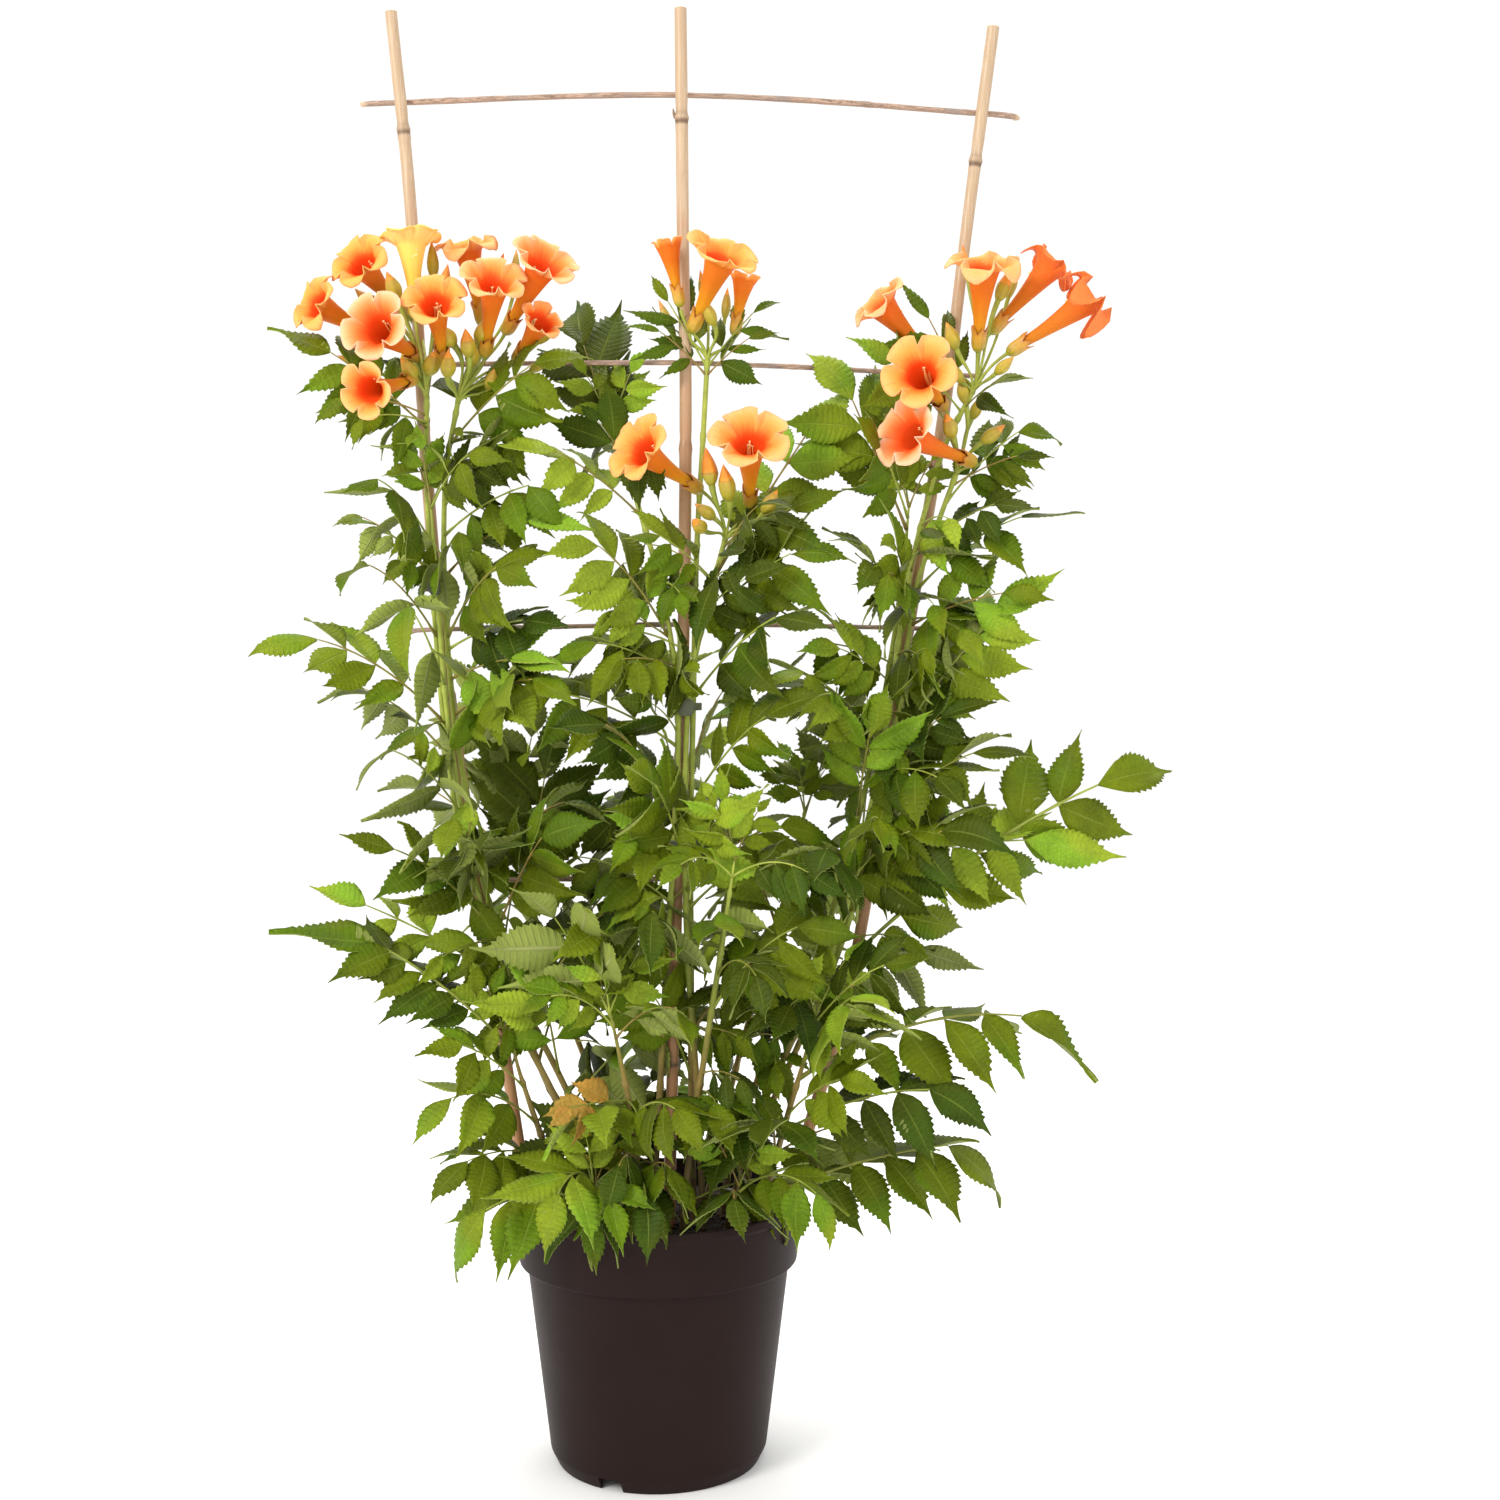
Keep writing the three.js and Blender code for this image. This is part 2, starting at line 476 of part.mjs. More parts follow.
// ---------------------------------------------------------------- leaves
// The edge of a leaflet, as shares of its length and of its half width: on one side a belly and the
// notch of a tooth, on the other a belly alone.
const TOOTHED_SIDE = [[0.36, 1.02], [0.45, 0.66]];
const PLAIN_SIDE = [[0.42, -1]];

// The compound leaf is one thin body: a rachis of four-cornered rings, and blades that grow out of its
// sides and its end. Every ring and outline point has a corner above and a corner below.
function compoundLeaf(stemLine, [, height, tipPoint, arch, face, pairs, seed]) {
  const draw = drawsFrom(seed);
  const stray = (kind) => draw(-STRAY[kind], STRAY[kind]);
  const positions = [];
  const triangles = [];
  const base = pointAtHeight(stemLine, height);
  const tip = vector(tipPoint);
  const length = base.distanceTo(tip);
  const control = base.clone().lerp(tip, 0.5).addScaledVector(UP, 2 * arch);
  control.x += stray('bend') * length;
  control.y += stray('bend') * length;
  const path = new THREE.QuadraticBezierCurve3(base, control, tip);
  const turn = radians(face + stray('turn'));
  const terminal = Math.min(TERMINAL_SHARE * length, LEAFLET_MAX);
  const rachisEnd = 1 - terminal / length;
  const spacing = (rachisEnd - PETIOLE_SHARE) / pairs;
  const sideLength = Math.min(LEAFLET_TO_SPACING * spacing * length, LEAFLET_MAX);

  const addPoint = (point) => positions.push(...point) / 3 - 1;
  const addQuad = (a, b, c, d) => triangles.push(a, b, c, a, c, d);

  function frameAt(share) {
    const along = path.getTangent(share);
    const normal = UP.clone().multiplyScalar(Math.cos(turn)).addScaledVector(FRONT, Math.sin(turn));
    normal.addScaledVector(along, -normal.dot(along)).normalize();
    return { centre: path.getPoint(share), along, normal, across: along.clone().cross(normal) };
  }

  function addRing(share) {
    const { centre, normal, across } = frameAt(share);
    const taper = 1 - RACHIS_TAPER * share;
    const corner = (side, level) => {
      const point = centre.clone();
      point.addScaledVector(across, side * RACHIS_HALF_WIDTH * taper);
      point.addScaledVector(normal, level * RACHIS_HALF_HEIGHT * taper);
      return addPoint(point);
    };
    return { left: [corner(-1, 1), corner(-1, -1)], right: [corner(1, 1), corner(1, -1)] };
  }

  function addSegment(from, to, sides) {
    addQuad(from.left[0], from.right[0], to.right[0], to.left[0]);
    addQuad(from.right[1], from.left[1], to.left[1], to.right[1]);
    if (sides) {
      addQuad(from.right[0], from.right[1], to.right[1], to.right[0]);
      addQuad(from.left[1], from.left[0], to.left[0], to.left[1]);
    }
  }

  // A blade from its two root corners round its edge, in the order seen from above.
  function addBlade(rootA, rootB, share, angle, size) {
    const { centre, along, normal, across } = frameAt(share);
    const spread = radians(angle);
    const droop = radians(DROOP + stray('droop'));
    const twist = radians(stray('twist'));
    const outward = along.clone().multiplyScalar(Math.cos(spread));
    outward.addScaledVector(across, Math.sin(spread));
    const flank = along.clone().multiplyScalar(-Math.sin(spread));
    flank.addScaledVector(across, Math.cos(spread));
    const up = normal.clone().multiplyScalar(Math.cos(droop)).addScaledVector(outward, Math.sin(droop));
    outward.multiplyScalar(Math.cos(droop)).addScaledVector(normal, -Math.sin(droop));
    flank.applyAxisAngle(outward, twist);
    up.applyAxisAngle(outward, twist);
    const bladeLength = size * draw(...LEAFLET_SCALE);
    const halfWidth = BLADE_HALF_WIDTH * bladeLength;
    const edgePoint = (run, side) => {
      const point = centre.clone();
      point.addScaledVector(outward, run * bladeLength);
      point.addScaledVector(flank, side * halfWidth);
      point.addScaledVector(up, BLADE_FOLD * Math.abs(side) * halfWidth);
      const lower = point.clone().addScaledVector(up, -BLADE_THICKNESS / 2);
      point.addScaledVector(up, BLADE_THICKNESS / 2);
      return [addPoint(point), addPoint(lower)];
    };
    const first = TOOTHED_SIDE.map(([run, width]) => edgePoint(run, width));
    const end = edgePoint(1, 0);
    const second = PLAIN_SIDE.map(([run, width]) => edgePoint(run, width));
    const outline = [rootA, ...first, end, ...second, rootB];
    const fans = [[rootA, [...first, end]], [rootA, [end, rootB]], [rootB, [end, ...second]]];
    fans.forEach(([root, edge]) => {
      for (let i = 0; i < edge.length - 1; i += 1) {
        triangles.push(root[0], edge[i][0], edge[i + 1][0]);
        triangles.push(root[1], edge[i + 1][1], edge[i][1]);
      }
    });
    for (let i = 0; i < outline.length - 1; i += 1) {
      addQuad(outline[i][0], outline[i][1], outline[i + 1][1], outline[i + 1][0]);
    }
  }

  let last = addRing(0);
  addQuad(last.left[0], last.left[1], last.right[1], last.right[0]);
  for (let pair = 0; pair < pairs; pair += 1) {
    const share = PETIOLE_SHARE + pair * spacing;
    const half = NODE_HALF_LENGTH / length;
    const near = addRing(share - half);
    const far = addRing(share + half);
    const spread = FIRST_PAIR_SPREAD - (SPREAD_LOSS * pair) / pairs;
    addSegment(last, near, true);
    addSegment(near, far, false);
    addBlade(near.right, far.right, share, spread + stray('spread'), sideLength);
    addBlade(far.left, near.left, share, -spread + stray('spread'), sideLength);
    last = far;
  }
  const end = addRing(rachisEnd);
  addSegment(last, end, true);
  addBlade(end.right, end.left, rachisEnd, stray('tipTurn'), terminal);
  return toSolid(geometryFrom(positions, triangles));
}

// ---------------------------------------------------------------- flowers
// The bloom is a flared tube with five rounded lobes, open at its mouth.
function bloom(seatPoint, mouthPoint, size) {
  const seat = vector(seatPoint);
  const axis = vector(mouthPoint).sub(seat);
  const length = axis.length();
  const spread = size * MOUTH_RADIUS;
  const positions = [];
  const triangles = [];
  const addRing = (height, radii, angles) => angles.map((angle, k) => {
    const radius = radii[k % radii.length];
    positions.push(radius * Math.cos(radians(angle)), radius * Math.sin(radians(angle)), height);
    return positions.length / 3 - 1;
  });
  const even = (count, start) => Array.from({ length: count }, (_, k) => start + (360 * k) / count);
  const tubeAngles = even(BLOOM_SIDES, 0);
  const lobeAngles = even(LOBES, 0).flatMap((notch) => [0, ...LOBE_SHOULDERS].map((step) => notch + step));
  const lobeRadii = [BLOOM_SHARES.lobeNotch * spread, spread, spread];
  const throatRadius = BLOOM_SHARES.throat * spread + THROAT_WALL;
  const mouthRadius = BLOOM_SHARES.mouth * spread + THROAT_WALL;

  const foot = addRing(SEAT_GAP, [TUBE_FOOT_RADIUS], tubeAngles);
  const waist = addRing(BLOOM_STATIONS.waist * length, [TUBE_WAIST_RADIUS], tubeAngles);
  const throat = addRing(BLOOM_STATIONS.throat * length, [throatRadius], tubeAngles);
  const marginBelow = addRing(length - MARGIN_THICKNESS, lobeRadii, lobeAngles);
  const marginAbove = addRing(length, lobeRadii, lobeAngles);
  const mouth = addRing(BLOOM_STATIONS.mouth * length, [mouthRadius], even(LOBES, 180 / LOBES));
  const [bottom] = addRing(BLOOM_STATIONS.throatBottom * length, [0], [0]);

  for (let k = 1; k < BLOOM_SIDES - 1; k += 1) triangles.push(foot[0], foot[k + 1], foot[k]);
  [[foot, waist], [waist, throat], [marginBelow, marginAbove]].forEach(([from, to]) => {
    from.forEach((here, k) => {
      const next = (k + 1) % from.length;
      triangles.push(here, from[next], to[next], here, to[next], to[k]);
    });
  });
  for (let k = 0; k < LOBES; k += 1) {
    const nextLobe = (k + 1) % LOBES;
    const [a, b, c] = [throat[2 * k], throat[2 * k + 1], throat[2 * nextLobe]];
    const low = [0, 1, 2].map((i) => marginBelow[3 * k + i]);
    const lowNext = marginBelow[3 * nextLobe];
    triangles.push(a, low[1], low[0], a, b, low[1], b, low[2], low[1], b, c, low[2], c, lowNext, low[2]);
    const high = [0, 1, 2].map((i) => marginAbove[3 * k + i]);
    const highNext = marginAbove[3 * nextLobe];
    triangles.push(high[0], high[1], mouth[k], high[1], high[2], mouth[k], high[2], highNext, mouth[k]);
    triangles.push(highNext, mouth[nextLobe], mouth[k], mouth[k], mouth[nextLobe], bottom);
  }
  const geometry = geometryFrom(positions, triangles);
  const turn = new THREE.Quaternion().setFromUnitVectors(UP, axis.normalize());
  geometry.applyQuaternion(turn);
  geometry.translate(...seat);
  return toSolid(geometry);
}

// A flower stalk runs from the top of its stem and widens into the calyx that carries the bloom.
function flowerStalk(junction, seatPoint, mouthPoint) {
  const seat = vector(seatPoint);
  const axis = vector(mouthPoint).sub(seat).normalize();
  const calyxFoot = seat.clone().addScaledVector(axis, -CALYX_LENGTH);
  const calyxBelly = seat.clone().addScaledVector(axis, -CALYX_SHAPE.belly * CALYX_LENGTH);
  const radii = [STALK_RADIUS, CALYX_SHAPE.footRadius, CALYX_SHAPE.bellyRadius, CALYX_RADIUS];
  return toSolid(taperedBar([junction, calyxFoot, calyxBelly, seat], radii, STEM_SIDES));
}

function budStalk(junction, footPoint, tipPoint, radius) {
  const foot = vector(footPoint);
  const tip = vector(tipPoint);
  const belly = foot.clone().lerp(tip, BUD_SHAPE.belly);
  const radii = [STALK_RADIUS, BUD_SHAPE.footShare * radius, radius, BUD_SHAPE.tipShare * radius];
  return toSolid(taperedBar([junction, foot, belly, tip], radii, STALK_SIDES));
}

// ---------------------------------------------------------------- leafy stems
function bareStem(name) {
  const line = stemLines[name];
  const points = [line[0].clone().addScaledVector(UP, -HOLE_DEPTH), ...line];
  const radii = points.map((_, i) => (
    THREE.MathUtils.lerp(STEM_FOOT_RADIUS, STEM_TOP_RADIUS, Math.max(i - 1, 0) / (line.length - 1))
  ));
  return toSolid(taperedBar(points, radii, STEM_SIDES));
}

function flowering(name) {
  const junction = stemLines[name].at(-1);
  const stalks = BLOOMS.filter(([, stem]) => stem === name)
    .map(([, , seat, mouth]) => flowerStalk(junction, seat, mouth));
  const buds = BUDS.filter(([stem]) => stem === name)
    .map(([, foot, tip, radius]) => budStalk(junction, foot, tip, radius));
  return [...stalks, ...buds];
}

function leafyStem(name) {
  const leaves = LEAVES.filter(([stem]) => stem === name)
    .map((row) => compoundLeaf(stemLines[name], row));
  return [...flowering(name), ...leaves].reduce((solid, piece) => solid.add(piece), bareStem(name));
}

// ---------------------------------------------------------------- assembly
const group = new THREE.Group();
group.add(toMesh('pot', pot(), POT_PLASTIC));
group.add(toMesh('soil', soil(), SOIL_MIX));
Object.entries(caneCurves).forEach(([side, curve]) => {
  const solid = toSolid(bar(curve, CANE_RADIUS, CANE_SIDES, CANE_STEPS));
  group.add(toMesh(`cane_${side}`, solid, BAMBOO));
});
Object.entries(RAILS).forEach(([name, layout]) => group.add(toMesh(name, rail(layout), SPLIT_BAMBOO)));
Object.entries(TIES).forEach(([name, layout]) => group.add(toMesh(name, tie(layout), TIE_PLASTIC)));
Object.keys(STEMS).forEach((name) => group.add(toMesh(name, leafyStem(name), FOLIAGE)));
BLOOMS.forEach(([name, , seat, mouth, size]) => {
  group.add(toMesh(name, bloom(seat, mouth, size), PETAL));
});

export default group;
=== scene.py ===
"""Trumpet vine in a nursery pot, trained on a fan of bamboo canes: its finish, built on the fixed frame.

Laid out as an add-on: settings, an operator for each group of pieces, and a sidebar panel that lists them.
The plant's layout is in millimetres, as its solids are, and each mesh is made in metres.
"""
import math
import random

import bpy
import numpy as np
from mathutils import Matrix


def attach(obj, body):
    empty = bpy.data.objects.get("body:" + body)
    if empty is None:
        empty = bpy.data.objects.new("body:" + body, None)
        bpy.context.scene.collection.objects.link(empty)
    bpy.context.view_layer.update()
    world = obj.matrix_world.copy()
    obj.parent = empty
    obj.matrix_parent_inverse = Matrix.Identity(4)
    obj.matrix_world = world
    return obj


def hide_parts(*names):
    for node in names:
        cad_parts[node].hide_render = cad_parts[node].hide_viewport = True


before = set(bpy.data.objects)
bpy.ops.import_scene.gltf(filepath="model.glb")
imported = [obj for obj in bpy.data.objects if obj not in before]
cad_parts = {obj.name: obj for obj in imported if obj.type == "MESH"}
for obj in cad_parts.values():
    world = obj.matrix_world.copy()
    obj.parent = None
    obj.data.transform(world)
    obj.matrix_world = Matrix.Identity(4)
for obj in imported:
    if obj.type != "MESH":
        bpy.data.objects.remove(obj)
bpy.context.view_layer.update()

bl_info = {
    "name": "Trumpet vine on a bamboo fan",
    "version": (1, 0, 0),
    "blender": (4, 5, 0),
    "location": "3D View > Sidebar > Vine",
    "description": "Builds a potted trumpet vine with its trellis, leaves and blooms",
    "category": "Add Mesh",
}

MM = 0.001
UP = np.array((0.0, 0.0, 1.0))
FRONT = np.array((0.0, -1.0, 0.0))
FULL_TURN = 2 * math.pi

# ---------------------------------------------------------------- layout in millimetres
CANES = {
    "left": [(-82, 0, 100), (-97, 0, 165), (-109.5, 0, 216), (-128, 0, 335), (-175, 15, 637), (-194, 22, 822),
             (-207, 28, 1044), (-223, 30, 1212)],
    "middle": [(9, -20, 90), (10, -20, 222), (12, -18, 305), (17, -15, 514), (22, -12, 687), (24, -8, 885),
               (22, -5, 1008), (20, 0, 1205)],
    "right": [(82, 0, 100), (97, 0, 165), (109, 0, 216), (123, 0, 266), (165, 6, 417), (204, 18, 658),
              (238, 26, 864), (259, 32, 1032), (281, 35, 1201)],
}
CANE_RADIUS = 5.2
CANE_BORE = 2.4
CANE_SIDES = 20
CANE_RINGS = {"left": (1114, 872, 640, 402), "middle": (1116, 846, 590, 338), "right": (1090, 834, 566, 330)}

# Rails: end at the left, height at each cane, end at the right.
RAILS = {
    "rail_top": ((-251, 44, 1139), (1139, 1136, 1131), (303, 50, 1129)),
    "rail_upper": ((-218, 38, 919), (919, 916, 911), (273, 44, 911)),
    "rail_middle": ((-213, 32, 694), (696, 700, 697), (229, 34, 695)),
    "rail_low": ((-174, 22, 485), (485, 488, 483), (194, 23, 483)),
}
RAIL_RADIUS = 3.0
RAIL_SIDES = 16
CROSSING_GAP = 8.3

# Ties: centre and inner half widths of the band.
TIES = {
    "tie_left": ((-184.4, 10.6, 732), (12.6, 14.2)),
    "tie_middle_upper": ((23, -15.4, 632), (12.8, 10)),
    "tie_middle_lower": ((20.8, -17.2, 520), (13, 10.8)),
    "tie_right": ((210.9, 17, 724), (13, 11.6)),
}
TIE_HEIGHT = 6.0
TIE_THICKNESS = 1.5
TIE_SIDES = 64

STEMS = {
    "stem_left_a": [(-45, -15, 205), (-62, -20, 260), (-90, -22, 320), (-128, -16, 393), (-156, -4, 475),
                    (-171, 2, 560), (-181, 5, 640), (-188, 8, 732), (-192, 4, 822), (-188, -15, 888)],
    "stem_left_b": [(-38, -2, 205), (-55, -8, 265), (-82, -12, 325), (-115, -10, 393), (-143, -2, 475),
                    (-160, 0, 560), (-172, 5, 640), (-178, 8, 732), (-176, 4, 822), (-163, -10, 885)],
    "stem_left_c": [(-54, 4, 205), (-66, -2, 260), (-96, -8, 325), (-122, -2, 393), (-148, -14, 475),
                    (-165, -9, 560), (-176, -4, 640), (-183, -0.5, 732), (-186, -10, 800)],
    "stem_middle_a": [(30, -14, 205), (28, -13, 305), (28, -13, 420), (27.5, -13.5, 520), (30, -13, 632),
                      (33, -10, 760), (38, -6, 850), (42, -5, 920)],
    "stem_middle_b": [(38, -28, 205), (34, -26, 305), (26, -25, 420), (23.5, -22.5, 520), (26, -21, 632),
                      (38, -22, 700), (57, -25, 771)],
    "stem_middle_c": [(-4, -24, 205), (2, -26, 305), (8, -26, 420), (14.5, -23.5, 520), (17.5, -21.5, 632),
                      (6, -16, 720), (-16, -4, 800), (-38, 4, 865)],
    "stem_right_a": [(70, 2, 205), (84, 0, 270), (118, -4, 350), (152, -4, 430), (178, 0, 520), (199, 4, 610),
                     (215, 10, 724), (232, 6, 780), (249, 0, 828)],
    "stem_right_b": [(62, -8, 205), (75, -12, 270), (110, -14, 350), (146, -12, 430), (171, -6, 520),
                     (190, 0, 610), (207, 12, 724), (222, 15, 790), (240, 12, 850), (262, 0, 894)],
    "stem_right_c": [(54, 6, 205), (66, 8, 270), (98, 4, 350), (136, 4, 430), (163, 8, 520), (184, 12, 610),
                     (203.5, 20, 724), (210, 14, 800)],
    "shoot_low_right": [(80, -28, 205), (92, -36, 240), (108, -46, 300), (122, -54, 350), (130, -60, 385)],
    "shoot_low_left": [(-70, -22, 205), (-82, -30, 240), (-98, -38, 290), (-112, -42, 335), (-120, -44, 370)],
    "shoot_front_left": [(-40, -55, 205), (-44, -66, 225), (-48, -80, 250)],
    "shoot_front": [(-12, -42, 205), (-14, -52, 250), (-20, -66, 310), (-28, -82, 360), (-34, -95, 394)],
    "shoot_front_tall": [(22, -50, 205), (28, -56, 270), (40, -68, 350), (54, -84, 440), (65, -98, 515)],
    "shoot_front_right": [(58, -52, 205), (62, -62, 225), (68, -76, 250)],
    "shoot_back_left": [(-30, 40, 205), (-50, 55, 280), (-85, 68, 370), (-115, 75, 460), (-135, 78, 540)],
    "shoot_back_right": [(40, 38, 205), (58, 52, 290), (85, 66, 390), (112, 74, 480), (125, 78, 540)],
}
STEM_START = 205
STEM_DEPTH = 40
STEM_FOOT_RADIUS = 2.8
STEM_TOP_RADIUS = 2.1
STEM_JOINTS = (44, 62)

